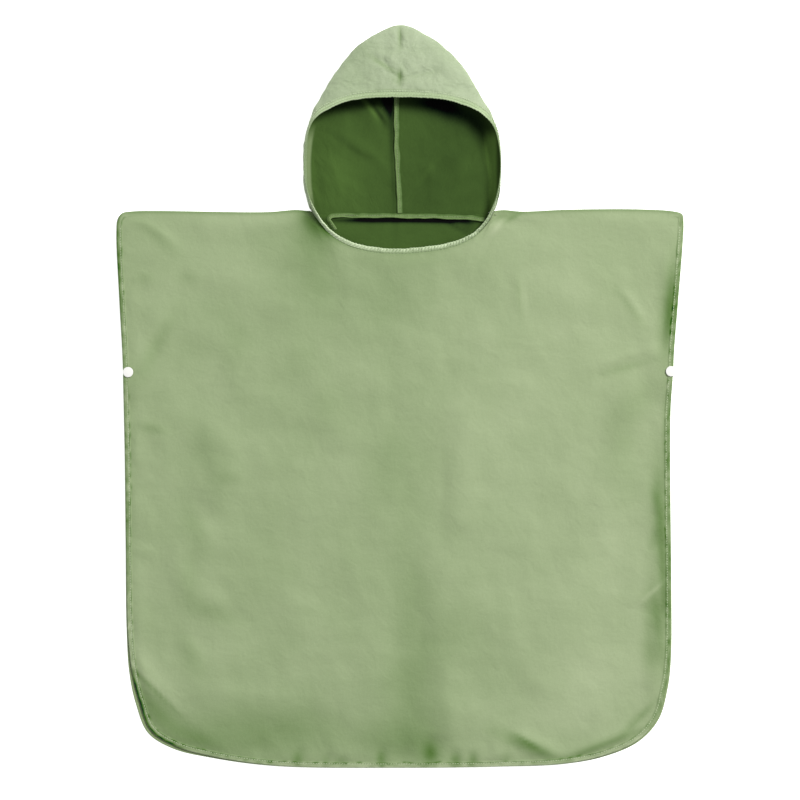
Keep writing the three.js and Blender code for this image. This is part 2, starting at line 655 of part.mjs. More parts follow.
// Profiles of the four pieces of a fastener, as radius and height off the floor
function snapPieces() {
  const { capRadius, capThickness, capCrown, pinRadius, studRadius, knobRadius, socketRadius } = SNAP;
  const knobTop = STUD_BASE + SNAP.studThickness + SNAP.knobHeight;
  const pinTop = knobTop - SNAP.pinShortfall;
  const capTop = CAP_BASE + capThickness;
  const bore = pinRadius + SEAM_GAP;
  return {
    back_cap: [
      [0, 0], [capRadius - 0.4, 0], [capRadius, 0.4], [capRadius, capThickness - 0.2],
      [capRadius - 0.3, capThickness], [pinRadius, capThickness], [pinRadius, pinTop], [0, pinTop],
    ],
    stud: [
      [bore, STUD_BASE], [studRadius, STUD_BASE], [studRadius, STUD_BASE + SNAP.studThickness],
      [knobRadius - 0.2, STUD_BASE + SNAP.studThickness], [knobRadius, knobTop - 0.5],
      [knobRadius - 0.3, knobTop], [bore, knobTop], [bore, STUD_BASE],
    ],
    socket: [
      [SNAP.socketBore, SOCKET_BASE], [socketRadius, SOCKET_BASE],
      [socketRadius, SOCKET_BASE + SNAP.socketThickness - 0.3],
      [socketRadius - 0.4, SOCKET_BASE + SNAP.socketThickness],
      [SNAP.socketBore, SOCKET_BASE + SNAP.socketThickness], [SNAP.socketBore, SOCKET_BASE],
    ],
    front_cap: [
      [0, pinTop + SEAM_GAP], [pinRadius, pinTop + SEAM_GAP], [pinRadius, CAP_BASE],
      [capRadius - 0.3, CAP_BASE], [capRadius, CAP_BASE + 0.3], [capRadius, capTop - 0.4],
      [capRadius - 0.6, capTop], [capRadius * 0.5, capTop + 0.75 * capCrown], [0, capTop + capCrown],
    ],
  };
}

// Holes for the fasteners' pins, cut through a panel
function pierced(geometry) {
  const toSolid = (source) => {
    const bare = source.clone();
    bare.deleteAttribute('normal');
    bare.deleteAttribute('uv');
    const joined = mergeVertices(bare, 1e-4);
    return new wasm.Manifold(new wasm.Mesh({
      numProp: 3,
      vertProperties: new Float32Array(joined.getAttribute('position').array),
      triVerts: new Uint32Array(joined.getIndex().array),
    }));
  };
  let solid = toSolid(geometry);
  SNAP_PLACES.forEach((place) => {
    const drill = new THREE.CylinderGeometry(SNAP.holeRadius, SNAP.holeRadius, DRILL.length, DRILL.sides);
    drill.rotateX(Math.PI / 2);
    drill.translate(place.x, place.y, 0);
    solid = solid.subtract(toSolid(drill));
  });
  const mesh = solid.getMesh();
  const cut = new THREE.BufferGeometry();
  cut.setAttribute('position', new THREE.BufferAttribute(new Float32Array(mesh.vertProperties), 3));
  cut.setIndex(new THREE.BufferAttribute(new Uint32Array(mesh.triVerts), 1));
  cut.computeVertexNormals();
  return cut;
}

function piece(name, geometry, finish) {
  const mesh = new THREE.Mesh(geometry, new THREE.MeshStandardMaterial(finish));
  mesh.name = name;
  return mesh;
}

const garment = new THREE.Group();
garment.add(
  piece('back_panel', pierced(panelGeometry(backEdge(), BACK_SHARES, backHeights)), FINISH.cloth),
  piece('front_panel', pierced(panelGeometry(frontEdge(), FRONT_SHARES, frontHeights)), FINISH.cloth),
  piece('hood_left', hoodGeometry(HOOD_LEFT, 'left'), FINISH.cloth),
  piece('hood_right', hoodGeometry(HOOD_RIGHT, 'right'), FINISH.cloth),
  piece('opening_binding', bindingGeometry(), FINISH.binding),
  piece('neck_seam_tape', tapeGeometry(NECK_TAPE, 2), FINISH.tape),
  piece('hood_seam_tape', tapeGeometry(HOOD_TAPE, 1), FINISH.tape),
);
SNAP_PLACES.forEach((place) => {
  Object.entries(snapPieces()).forEach(([role, profile]) => {
    const mesh = piece(`snap_${place.name}_${role}`, turned(profile), FINISH.snap);
    mesh.position.set(place.x, place.y, 0);
    garment.add(mesh);
  });
});

// The origin is under the middle of the garment, on the floor
const extent = new THREE.Box3().setFromObject(garment);
const centre = extent.getCenter(new THREE.Vector3());
garment.position.set(-centre.x, -centre.y, -extent.min.z);

const group = new THREE.Group();
group.add(garment);
export default group;
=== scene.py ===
"""Hooded rain poncho for a small child, laid flat on its back and seen from straight above.

Tables hold millimetres in the cutter's axes: x to the right, y from the hem to the hood's peak and z up
off the floor. Meshes are in metres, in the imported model's frame.
"""
import logging
import math
from dataclasses import dataclass, field
from enum import Enum
from typing import Callable, Sequence

import bmesh
import bpy
import numpy as np
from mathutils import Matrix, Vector


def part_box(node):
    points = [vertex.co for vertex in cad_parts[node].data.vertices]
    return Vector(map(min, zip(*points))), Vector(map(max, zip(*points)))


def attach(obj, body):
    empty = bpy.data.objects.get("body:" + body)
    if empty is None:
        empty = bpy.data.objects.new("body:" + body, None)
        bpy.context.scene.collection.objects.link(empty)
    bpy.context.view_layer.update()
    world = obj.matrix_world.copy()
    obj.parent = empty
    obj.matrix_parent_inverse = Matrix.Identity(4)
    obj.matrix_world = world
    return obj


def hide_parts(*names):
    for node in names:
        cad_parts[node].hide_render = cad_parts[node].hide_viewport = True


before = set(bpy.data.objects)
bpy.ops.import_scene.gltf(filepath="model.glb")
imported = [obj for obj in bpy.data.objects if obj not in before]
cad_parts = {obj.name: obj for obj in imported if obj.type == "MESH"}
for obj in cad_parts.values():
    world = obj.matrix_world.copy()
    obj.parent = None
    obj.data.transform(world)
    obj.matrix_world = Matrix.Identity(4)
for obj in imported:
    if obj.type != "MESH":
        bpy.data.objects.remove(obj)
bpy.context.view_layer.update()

LOG = logging.getLogger("poncho")

MM = 0.001
CLOTH = 1.2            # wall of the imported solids
SHELL = 0.7            # wall of the cloth as it is seen
SEAM_GAP = 0.3
SEAM_TUCK = 0.5
HEM_WIDTH = 6.0
HEM_RISE = 0.8
BINDING_WIDTH = 6.5
BINDING_THICKNESS = 2.2
FRONT_REST = CLOTH + SEAM_GAP
FRONT_HEM_LIFT = 0.9
NECK_SPREAD = 40.0
PEAK_Y = 445.8
MIDDLE = np.array([0.0, -110.0])
STITCH_PITCH = 3.1

Array = np.ndarray


class Side(Enum):
    """Side of the garment in the picture."""

    LEFT = -1
    RIGHT = 1


class Layer(Enum):
    """Panel of the body."""

    BACK = "back_panel"
    FRONT = "front_panel"


class Table:
    """Short table of numbers with named columns."""

    def __init__(self, columns: str, rows: Sequence[Sequence[float]]) -> None:
        """Keeps the rows.

        Args:
            columns: names of the columns, parted by spaces.
            rows: the rows of numbers.
        """
        self.columns = columns.split()
        self.values = np.array(rows, float)

    def __len__(self) -> int:
        """Number of rows."""
        return len(self.values)

    def __getitem__(self, names: str) -> Array:
        """Column of one name, or a block of columns where several names are given."""
        picked = [self.columns.index(name) for name in names.split()]
        return self.values[:, picked[0]] if len(picked) == 1 else self.values[:, picked]


BODY_EDGE = Table("x y front hem", [
    (-112, 222.2, 0, 0), (-124, 223.6, 0, 0), (-160, 221.0, 0, 0), (-322, 221.8, 0, 0),
    (-334, 219.6, 0.4, 0.6), (-339.4, 212.5, 0.6, 1), (-341, 196, 0.6, 1), (-337.4, 114, 0.6, 1),
    (-333.8, 50, 0.6, 1), (-333, 28, 0.4, 1), (-332.6, 6, 0.6, 1), (-331, -70, 0.8, 1),
    (-329.8, -180, 0.8, 1), (-328.6, -280, 1.5, 1), (-325.4, -332, 3.5, 1), (-317.5, -370, 5, 1),
    (-303, -405, 5, 1), (-273.4, -423.8, 4, 1), (-226, -435.2, 2, 1), (-150, -445, 0.8, 1),
    (0, -447.2, 0.4, 1), (118, -445.8, 0.4, 1), (196, -442.6, 0.8, 1), (246, -433.4, 1.5, 1),
    (287, -415.5, 2, 1), (311, -389, 2.5, 1), (321.5, -354, 2.5, 1), (325.8, -318, 1.5, 1),
    (326.4, -225, 0.8, 1), (325.2, -110, 0.8, 1), (325.4, -20, 0.6, 1), (327, 8, 0.4, 1),
    (328.6, 29, 0.4, 1), (329.6, 52, 0.4, 1), (334.4, 112, 0.6, 1), (340.2, 186, 0.6, 1),
    (341, 207, 0.5, 1), (339.4, 218.4, 0.3, 0.6), (330, 221.6, 0, 0), (290, 224.2, 0, 0),
    (200, 223.8, 0, 0), (146, 221.6, 0, 0), (126, 223.4, 0, 0), (118, 223.0, 0, 0),
])
# Rows of BODY_EDGE at the four corners of the body, in the order of the edge
CORNER_ROWS = (4.3, 16.4, 24.6, 37.4)
BACK_NECK = Table("x y", [
    (118, 223.0), (110, 221.6), (104.6, 219.0), (75, 217.8), (0, 217.8),
    (-72, 217.8), (-99.6, 219.0), (-105, 221.6), (-112, 222.2),
])
NECKLINE = Table("x y z lean", [
    (-84.6, 200.4, 9.0, 50), (-68, 189.2, 7.4, 32), (-45, 181.2, 6.4, 22), (-21, 177.5, 6.0, 18),
    (3, 176.8, 6.0, 18), (30, 179.2, 6.1, 18), (53, 182.6, 6.5, 22), (74, 188.6, 7.4, 32),
    (89.4, 196.4, 9.0, 48),
])
HOOD_COLUMNS = "rim_x rim_y rim_z lean fold_x fold_y fold_z turn end_x end_y end_z up flare"
HOOD_SECTIONS = {
    Side.LEFT: Table(HOOD_COLUMNS, [
        (-88.2, 204.2, 10.0, 54, -90.9, 201.7, 4.4, 0, -90.9, 201.7, 4.4, 0, 0),
        (-93.6, 210.2, 12.0, 62, -96.6, 208.4, 4.2, 0, -96.6, 208.4, 4.2, 0, 0.4),
        (-99.6, 218.8, 14.4, 68, -102.6, 216.2, 4.0, 0, -102.6, 216.2, 4.0, 0.4, 1),
        (-104.2, 227.2, 16.4, 72, -106.6, 222.6, 3.9, 1.2, -105.0, 222.6, 2.1, 1, 1.5),
        (-108.6, 236.6, 18.8, 84, -111.2, 231.6, 6.0, 5, -99.5, 219.4, 0, 2, 2),
        (-112.6, 250.0, 21.6, 98, -115.0, 247.0, 9.5, 10, -72, 218.1, 0, 3, 2),
        (-115.2, 272.0, 25.0, 112, -116.6, 271.0, 13.0, 13, -36, 218.1, 0, 3, 2),
        (-114.4, 295.0, 27.0, 110, -116.0, 295.0, 14.0, 13, -1.0, 218.1, 0, 3, 3),
        (-110.6, 317.0, 28.0, 92, -113.4, 313.5, 14.0, 12, -3.4, 262, 0, 4, 5),
        (-104.6, 329.8, 28.0, 66, -109.4, 329.0, 13.0, 11, -5.2, 298, 0, 5, 8),
        (-95.4, 338.6, 27.5, 40, -103.4, 344.0, 11.5, 10, -5.2, 328, 0, 6, 13),
        (-81.8, 346.0, 27.0, 28, -92.6, 363.6, 9.5, 8.5, -4.8, 356, 0, 7, 20),
        (-62.4, 353.2, 26.5, 19, -76.0, 391.0, 7.2, 7, -4.2, 386, 0, 8, 28),
        (-40.4, 357.0, 26.0, 13, -51.6, 419.4, 5.2, 5.5, -3.2, 412, 0, 9, 34),
        (-19.4, 358.0, 25.6, 10, -24.6, 437.4, 4.0, 4.5, -1.4, 430, 0, 10, 38),
        (0, 358.2, 25.4, 9, 0, 445.8, 3.2, 4, 0, 441.8, 0, 11, 40),
    ]),
    Side.RIGHT: Table(HOOD_COLUMNS, [
        (92.6, 199.4, 10.0, 54, 95.4, 196.9, 4.4, 0, 95.4, 196.9, 4.4, 0, 0),
        (98.8, 205.4, 12.0, 62, 101.8, 203.6, 4.2, 0, 101.8, 203.6, 4.2, 0, 0.4),
        (105.4, 214.4, 14.4, 68, 108.4, 212.6, 4.0, 0, 108.4, 212.6, 4.0, 0.4, 1),
        (110.6, 224.8, 16.6, 72, 113.0, 222.2, 3.9, 1.2, 111.4, 223.2, 2.1, 1, 1.5),
        (114.8, 236.6, 19.2, 77, 116.8, 231.6, 6.0, 5, 104.5, 219.4, 0, 2, 2),
        (118.2, 250.0, 22.0, 82, 120.2, 247.0, 9.5, 10, 75, 218.1, 0, 3, 2),
        (120.8, 272.0, 25.0, 86, 122.0, 271.0, 13.0, 13, 35, 218.1, 0, 3, 2),
        (119.8, 295.0, 27.0, 84, 121.2, 295.0, 14.0, 13, -1.0, 218.1, 0, 3, 3),
        (115.4, 316.0, 28.0, 72, 118.0, 313.0, 14.0, 12, -3.4, 262, 0, 4, 5),
        (109.0, 328.2, 28.0, 57, 113.4, 328.0, 13.0, 11, -5.2, 298, 0, 5, 8),
        (99.8, 337.2, 27.5, 40, 107.0, 342.6, 11.5, 10, -5.2, 328, 0, 6, 13),
        (86.4, 345.2, 27.0, 28, 95.8, 362.6, 9.5, 8.5, -4.8, 356, 0, 7, 20),
        (67.0, 352.2, 26.5, 19, 79.4, 390.4, 7.2, 7, -4.2, 386, 0, 8, 28),
        (44.0, 356.4, 26.0, 13, 53.6, 418.8, 5.2, 5.5, -3.2, 412, 0, 9, 34),
        (21.6, 357.8, 25.6, 10, 26.0, 437.0, 4.0, 4.5, -1.4, 430, 0, 10, 38),
        (0, 358.2, 25.4, 9, 0, 445.8, 3.2, 4, 0, 441.8, 0, 11, 40),
    ]),
}
NECK_TAPE_LINE = Table("x y", [
    (-77.5, 199.5), (-82.0, 206.0), (-85.6, 212.2), (-82, 216.2), (-50, 216.8), (0, 216.4), (50, 215.4),
    (84, 214.2), (102, 212.0),
])
HOOD_TAPE_LINE = Table("x y", [
    (0.2, 219.8), (-1.6, 262), (-3.6, 298), (-4.0, 328), (-4.0, 356), (-3.6, 386), (-2.6, 412),
    (-1.8, 426),
])
# Soft folds of the front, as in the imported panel
FOLDS = Table("x y angle length width height", [
    (78, -80, 84, 210, 46, 2.6), (-40, -330, 82, 190, 44, 2.2), (62, -350, 98, 200, 46, 2.4),
    (-150, 60, 64, 170, 58, 2.0), (-215, -110, 100, 190, 46, 1.8), (190, -260, 70, 200, 60, 2.2),
    (215, 95, 112, 180, 56, 1.8), (-235, -330, 40, 150, 44, 1.8), (-70, -60, 110, 180, 50, 1.6),
    (175, -420, 60, 70, 30, 1.4), (262, -70, 84, 170, 36, 1.4), (-285, 60, 92, 150, 32, 1.2),
])
# Creases: from one end to the other, how far the middle bows sideways, half width and height
CREASE_COLUMNS = "x0 y0 x1 y1 bow width height"
FRONT_CREASES = Table(CREASE_COLUMNS, [
    (-334, 216, -258, 170, 5, 7, 1.9), (-322, 206, -278, 178, 3, 5, -1.0),
    (-276, 98, -322, 22, -9, 9, 1.8), (-262, 104, -300, 30, -8, 8, -1.2),
    (-316, -28, -276, -46, -3, 8, 1.8), (-314, -52, -286, -38, 2, 6, -1.0),
    (-326, -118, -298, -96, 2, 4, 1.0), (-322, -184, -292, -190, 2, 4, 1.0), (-300, -134, -306, -160, 3, 4, 0.9),
    (-318, 146, -288, 132, 3, 7, 1.1), (-262, 146, -236, 138, 2, 8, 0.8), (-322, 36, -318, 2, 3, 6, 1.1),
    (-246, -18, -196, -102, 10, 14, 1.9), (-214, -92, -186, -104, 3, 8, 1.0),
    (-262, -160, -246, -250, -12, 12, 2.0), (-252, -236, -206, -262, 8, 11, 1.7),
    (-246, -150, -226, -186, 4, 9, 1.2), (-268, -288, -240, -334, 5, 10, 1.5), (-238, -226, -226, -250, 2, 12, -1.0),
    (-330, -298, -262, -372, -7, 11, 3.0), (-268, -366, -110, -372, 8, 15, 2.0),
    (-296, -360, -216, -424, 6, 9, 1.3), (-200, -428, -150, -396, 4, 9, 0.9),
    (-196, 70, -204, 10, 4, 12, 1.2), (-108, 40, -92, -46, 6, 14, 1.3), (-30, 40, -26, -50, 3, 9, 0.9),
    (36, 76, 44, 20, 3, 8, 0.9), (46, -20, 52, -190, -4, 15, -2.2), (52, -190, 30, -290, 4, 15, 1.4),
    (0, -190, 16, -330, 6, 18, -1.8), (-26, -280, -18, -440, 4, 14, 1.6), (52, -300, 60, -430, -5, 16, 1.9),
    (-124, -60, -118, -170, 5, 12, 0.9), (-60, -120, -50, -240, -6, 14, 1.0), (118, -230, 132, -320, 6, 15, 1.5),
    (150, -130, 158, -180, 3, 12, 1.0), (176, -60, 186, -240, -8, 20, -1.1), (226, 10, 232, -200, 8, 22, 1.1),
    (134, 154, 148, 96, 2, 5, 1.2), (162, 68, 168, 40, 2, 6, 1.0), (262, 134, 292, 78, 4, 6, 1.5),
    (234, 20, 314, 44, 6, 8, -1.9), (240, 34, 312, 54, 4, 7, 1.2), (314, 26, 262, -26, -6, 11, 1.7),
    (320, 38, 284, 86, 5, 7, 1.0), (316, 18, 298, -46, 5, 8, -1.1), (292, -2, 250, -64, -5, 12, 1.0),
    (316, 118, 312, 48, 4, 6, -1.4), (318, 176, 314, 128, 2, 5, 0.9), (312, 96, 300, 62, 3, 5, 0.8),
    (318, -214, 286, -254, 4, 7, 1.7), (318, -236, 300, -268, 3, 6, -1.2), (316, -286, 292, -352, 6, 9, 1.7),
    (314, -300, 304, -330, 3, 5, -0.9), (317, -120, 304, -142, 2, 5, 1.0), (316, -168, 306, -190, 2, 5, -0.9),
    (130, -410, 194, -436, 4, 8, 2.8), (194, -436, 292, -392, -5, 8, 2.4), (150, -396, 232, -404, -8, 22, -1.5),
    (112, -440, 124, -404, 3, 7, 1.3), (34, -446, 42, -406, 3, 7, -2.0), (12, -430, 34, -394, 4, 9, 1.3),
    (-123, -444, -118, -420, 2, 5, -1.3), (-89, -446, -84, -428, 2, 4, -1.2), (-71, -446, -68, -430, 1, 4, -1.0),
    (-23, -446, -20, -418, 2, 5, -1.4), (0, -446, 2, -424, 1, 5, -1.1), (67, -446, 64, -424, 2, 5, -1.4),
    (88, -446, 86, -426, 1, 5, -1.4), (-172, -440, -160, -412, 3, 6, -1.0), (-60, -444, -92, -392, 4, 7, 1.1),
    (-98, 172, -150, 84, 10, 13, 1.1), (-70, 156, -92, 84, 6, 10, -0.9), (92, 172, 150, 104, -9, 12, 1.0),
    (60, 150, 78, 70, 6, 12, -0.7), (4, 162, 8, 60, 5, 16, 0.8), (116, 214, 176, 204, -3, 6, -1.4),
    (104, 196, 148, 214, 3, 5, 1.0), (-118, 214, -190, 202, 4, 8, 0.9), (40, 168, 36, 112, 5, 9, 0.7),
    (-180, 190, -240, 40, 14, 20, 1.2), (-100, -300, -60, -420, 8, 16, 1.2), (-160, -200, -110, -330, 9, 18, 1.0),
])
BACK_CREASES = Table(CREASE_COLUMNS, [
    (-60, 205, 80, 196, 6, 5, 1.4), (48, 208, 98, 188, -4, 6, 1.5), (-76, 202, -30, 190, 3, 5, 1.0),
    (-300, 180, -180, 60, 20, 14, 0.9), (200, 160, 120, -20, 16, 16, 0.9), (-120, -60, -60, -300, 18, 18, 1.0),
    (140, -140, 220, -330, 16, 16, 0.9), (-280, -120, -200, -320, 12, 14, 0.9), (260, 60, 280, -120, 10, 12, 0.8),
    (-40, 80, 40, -60, 14, 18, 0.9), (-200, -400, -100, -350, 8, 12, 0.9), (60, -380, 200, -410, 9, 12, 0.9),
])
CROWN_CREASES = Table(CREASE_COLUMNS, [
    (1, 447, 0, 414, 0, 2.4, -1.9), (0, 392, -1, 376, 0, 2.8, -1.7), (-3, 384, -38, 404, -5, 3.4, -1.6),
    (-4, 392, -40, 414, -6, 3.6, 1.2), (-40, 404, -66, 396, 3, 5, -1.0), (2, 380, 56, 389, 5, 4.4, -1.3),
    (8, 372, 60, 374, 3, 5, 0.9), (-60, 374, -88, 350, 3, 6, 0.9), (70, 386, 94, 350, -4, 6, -0.9),
    (-30, 432, -68, 394, 3, 6, 0.9), (32, 426, 72, 386, -3, 6, 0.9), (10, 414, 34, 398, 3, 5, 0.8),
    (-20, 372, -60, 366, 3, 4, -0.8), (34, 368, 82, 360, -3, 4, 0.8), (-12, 424, -26, 398, 2, 4, -0.7),
])
HOOD_FLOOR_CREASES = Table(CREASE_COLUMNS, [
    (-34, 352, -12, 322, 3, 3.4, 3.4), (-22, 357, -8, 332, -2, 2.8, -2.0), (-44, 346, -26, 316, 3, 5, 1.8),
    (-78, 318, -6, 258, 7, 6, 1.9), (-66, 300, -14, 280, -5, 5, -1.2), (22, 284, 38, 250, 6, 5, 2.2),
    (50, 300, 76, 262, 5, 8, 1.6), (30, 330, 84, 322, -5, 6, 1.3), (-96, 290, -70, 240, 4, 7, 1.6),
    (60, 236, 100, 246, 3, 6, 1.4), (-86, 262, -40, 232, 5, 7, 1.3), (-60, 340, -80, 310, 3, 6, 1.2),
    (10, 246, 60, 226, 4, 6, 1.0),
])
# Painted light and shade, as lighter and darker places of the cloth: middle, radii, tilt of the longer one in
# degrees, share added
TONE_COLUMNS = "x y across along tilt share"
# Painted light and shade on the front: lighter towards the right, painted shade in its dips and creases, a painted
# shadow beside the hood's left and dark marks in the hem's puckers
FRONT_PAINTED_LIGHT_SHADE = Table(TONE_COLUMNS, [
    (215, -10, 150, 330, 0, 0.16), (79, -78, 16, 84, 0, 0.08), (19, -353, 40, 95, 0, -0.42),
    (12, -197, 26, 80, 0, -0.16), (91, -269, 40, 60, 0, -0.12), (-89, -11, 22, 30, 0, -0.12),
    (-77, -95, 18, 36, 0, 0.08), (-104, 190, 26, 30, 25, -0.40), (-103, 206, 11, 22, 45, -0.62), (-92, 199, 3, 16, 45, -0.3), (-95, 139, 20, 30, 0, -0.12),
    (-173, 217, 34, 14, 0, 0.14), (-227, -65, 24, 36, 30, -0.18), (-209, -98, 20, 8, 0, -0.12),
    (-245, -161, 12, 30, 25, -0.22), (-251, -221, 14, 34, 0, -0.24), (-227, -260, 34, 12, -20, -0.24),
    (-251, -311, 12, 30, 25, -0.20), (-179, -407, 104, 38, 0, -0.46), (-299, -323, 13, 56, 38, 0.18),
    (-197, 61, 16, 44, 0, -0.14), (-293, 60, 9, 44, -28, -0.24), (-299, -39, 18, 7, -10, -0.26),
    (-305, 142, 12, 8, 0, -0.18), (-255, 142, 12, 8, 0, -0.14), (-293, 193, 8, 36, 48, -0.20),
    (283, -11, 20, 36, -45, -0.20), (271, 34, 34, 5, 15, -0.26), (199, -388, 56, 26, 0, 0.20),
    (156, -422, 36, 7, -23, -0.8), (150, -414, 20, 3, -30, -0.5), (244, -419, 54, 5, 21, -0.62), (286, -388, 26, 5, 44, -0.5), (289, -290, 9, 100, 0, 0.16),
    (314, -158, 8.5, 66, 3, -0.95), (319, -50, 4, 50, 0, -0.55), (306, -122, 5, 14, 10, -0.3), (304, -172, 6, 16, -8, -0.3), (304, -258, 15, 25, 0, -0.55), (318, -240, 5, 44, 4, -0.45),
    (301, -308, 14, 26, 8, -0.50), (313, -290, 6, 54, 8, -0.40), (-298, -374, 48, 14, -46, -0.55), (-296, -345, 44, 2.6, -44, 0.22), (-299, -350, 44, 2.6, -44, -0.42), (-240, -412, 30, 9, -24, -0.3),
    (-327, -150, 4, 90, 0, -0.2), (-339, 150, 4, 70, 1, -0.6), (304, -235, 17, 2.6, 42, 0.40), (326, 108, 8, 52, -4, -0.95),
    (37, -430, 10, 14, 0, -0.7), (0, -418, 46, 20, 0, -0.16), (10, 164, 82, 10, 0, -0.10),
    (187, 208, 30, 14, 0, 0.06), (193, 67, 40, 30, 0, 0.06), (126, 216, 18, 5, 8, -0.50),
    (-323, -60, 6, 150, 0, -0.12), (-60, 110, 60, 40, 0, -0.10), (-170, -190, 40, 60, 20, -0.06),
    (-123, -437, 7, 10, 0, -0.6), (-89, -439, 5, 7, 0, -0.30), (-71, -440, 7, 6, 0, -0.34),
    (-23, -437, 6, 10, 0, -0.65), (67, -438, 7, 9, 0, -0.7), (88, -438, 6, 9, 0, -0.7), (127, -436, 7, 8, 0, -0.30),
    (-119, 163, 46, 50, 0, -0.18), (0, 139, 50, 60, 0, -0.22), (-119, 55, 50, 46, 0, -0.14),
    (0, -65, 44, 60, 0, -0.22), (262, -62, 24, 50, 0, -0.26), (240, -330, 56, 50, 0, 0.26),
    (262, -200, 26, 60, 0, 0.14), (0, -413, 70, 28, 0, -0.20), (-180, -408, 100, 30, 0, -0.10),
    (319, 98, 9, 50, -4, -0.35), (277, 105, 26, 4, -52, -0.24), (284, 110, 24, 3, -52, 0.12),
    (143, 123, 3, 30, 6, -0.14), (150, 120, 3, 26, 6, 0.08), (117, 203, 4, 12, -40, 0.50), (134, 213, 3, 14, -60, -0.40), (-206, 205, 60, 16, 0, 0.06),
])
# Painted shade in the front's hollows beside the neck's left and in the bottom hem, as shares of the lining's dark
# colour
HOLLOW_PAINTED_SHADE = Table(TONE_COLUMNS, [
    (-106, 207, 8, 14, 40, 0.48), (-97, 202, 3.5, 22, 45, 0.35), (-113, 214, 10, 7, 0, 0.25),
    (37, -428, 6, 10, 0, 0.12),
])
# Painted light and shade on the lining inside the hood: painted shade under the crown's edge, deepest at the top
# right, painted shadows under the seam tapes, and lighter on the left where light falls
LINING_PAINTED_LIGHT_SHADE = Table(TONE_COLUMNS, [
    (-72, 262, 40, 60, 0, 0.16), (60, 262, 46, 60, 0, -0.14), (-60, 351, 50, 11, 12, -0.6),
    (-20, 356, 22, 12, 0, -0.3), (66, 342, 46, 16, -20, -0.7), (98, 316, 12, 20, 30, -0.4),
    (30, 352, 34, 11, -4, -0.45), (-12, 348, 5, 17, 10, -0.5), (-9, 318, 4, 26, 3, -0.36),
    (-34, 344, 15, 3, -50, 0.75), (-25, 338, 14, 3, -56, -0.5), (-16, 344, 6, 16, 8, -0.4), (-8, 262, 3, 50, 3, -0.3),
    (-34, 210.9, 50, 3.2, 0, -1.0), (44, 210.4, 54, 3.0, -1, -1.0), (0, 190, 70, 14, 0, 0.06),
    (66, 204, 18, 3, -30, -0.3), (82, 204, 8, 10, 40, -0.3), (-104, 262, 4, 40, 0, 0.2),
    (-60, 300, 30, 4, -40, -0.12), (34, 270, 26, 4, 50, 0.10),
])
# Binding round the opening, by row of the rim: share of its thickness, tone of its lit lip (a painted highlight at
# the neck and forehead, painted shade on the sides), share of the lining's dark colour as painted shade, mostly on
# the right side, width of the lip and strength of its rope-like strokes of painted light and shade. The rim's rows
# run from the left of the neck over the right side and the forehead to the left.
BINDING_LOOK = Table("row thick tone inside width rope", [
    (0, 1.0, 1.45, 0, 4.9, 0.15), (2, 0.9, 1.15, 0, 4.3, 0.7), (4, 0.85, 0.85, 0, 3.8, 1.0),
    (6, 1.0, 0.9, 0, 3.8, 1.2), (8, 1.0, 0.9, 0, 4.0, 1.2), (10, 0.85, 0.85, 0, 3.6, 0.9),
    (12, 0.6, 0.5, 0.2, 3.0, 0.4), (13, 0.45, 0.3, 0.75, 3.0, 0.2), (15, 0.4, 0.2, 0.9, 3.0, 0),
    (17, 0.5, 0.4, 0.6, 2.8, 0), (19, 0.7, 0.68, 0, 2.6, 0.2), (22, 0.75, 0.64, 0, 2.0, 0.3),
    (24, 0.75, 0.60, 0, 1.8, 0.3), (26, 0.75, 0.58, 0, 1.7, 0.3), (29, 0.7, 0.60, 0, 1.8, 0.2),
    (31, 0.6, 0.35, 0.1, 2.4, 0.1), (33, 0.6, 0.28, 0.1, 2.4, 0), (35, 0.7, 0.4, 0.1, 2.6, 0),
    (37, 0.9, 1.25, 0, 4.2, 0.1), (39, 1.0, 1.5, 0, 5.2, 0.1),
])
# Painted shade on the hood's crown along its middle seam and its creases, with a little painted light on its right
CROWN_PAINTED_LIGHT_SHADE = Table(TONE_COLUMNS, [
    (-60, 392, 26, 30, 0, -0.08), (60, 380, 34, 34, 0, 0.06), (0, 383, 3, 9, 0, -0.55), (-14, 393, 20, 2.4, -34, -0.3), (-6, 378, 10, 2, -40, -0.2), (0, 432, 2.4, 14, 0, -0.5),
    (-20, 398, 24, 3, -32, -0.2), (28, 386, 26, 3, 10, -0.12), (-84, 352, 14, 20, -30, -0.10),
    (-96, 336, 12, 12, 0, -0.14), (104, 330, 10, 16, 0, -0.10), (-10, 366, 26, 3, 0, -0.10),
])


def smoothstep(low: float, high: float, value: Array) -> Array:
    """Eased ramp from 0 at low to 1 at high: 3t squared less 2t cubed."""
    t = np.clip((value - low) / (high - low), 0.0, 1.0)
    return t * t * (3.0 - 2.0 * t)


def unit(vectors: Array) -> Array:
    """Vectors of length one, along the last axis."""
    return vectors / np.maximum(np.linalg.norm(vectors, axis=-1, keepdims=True), 1e-12)


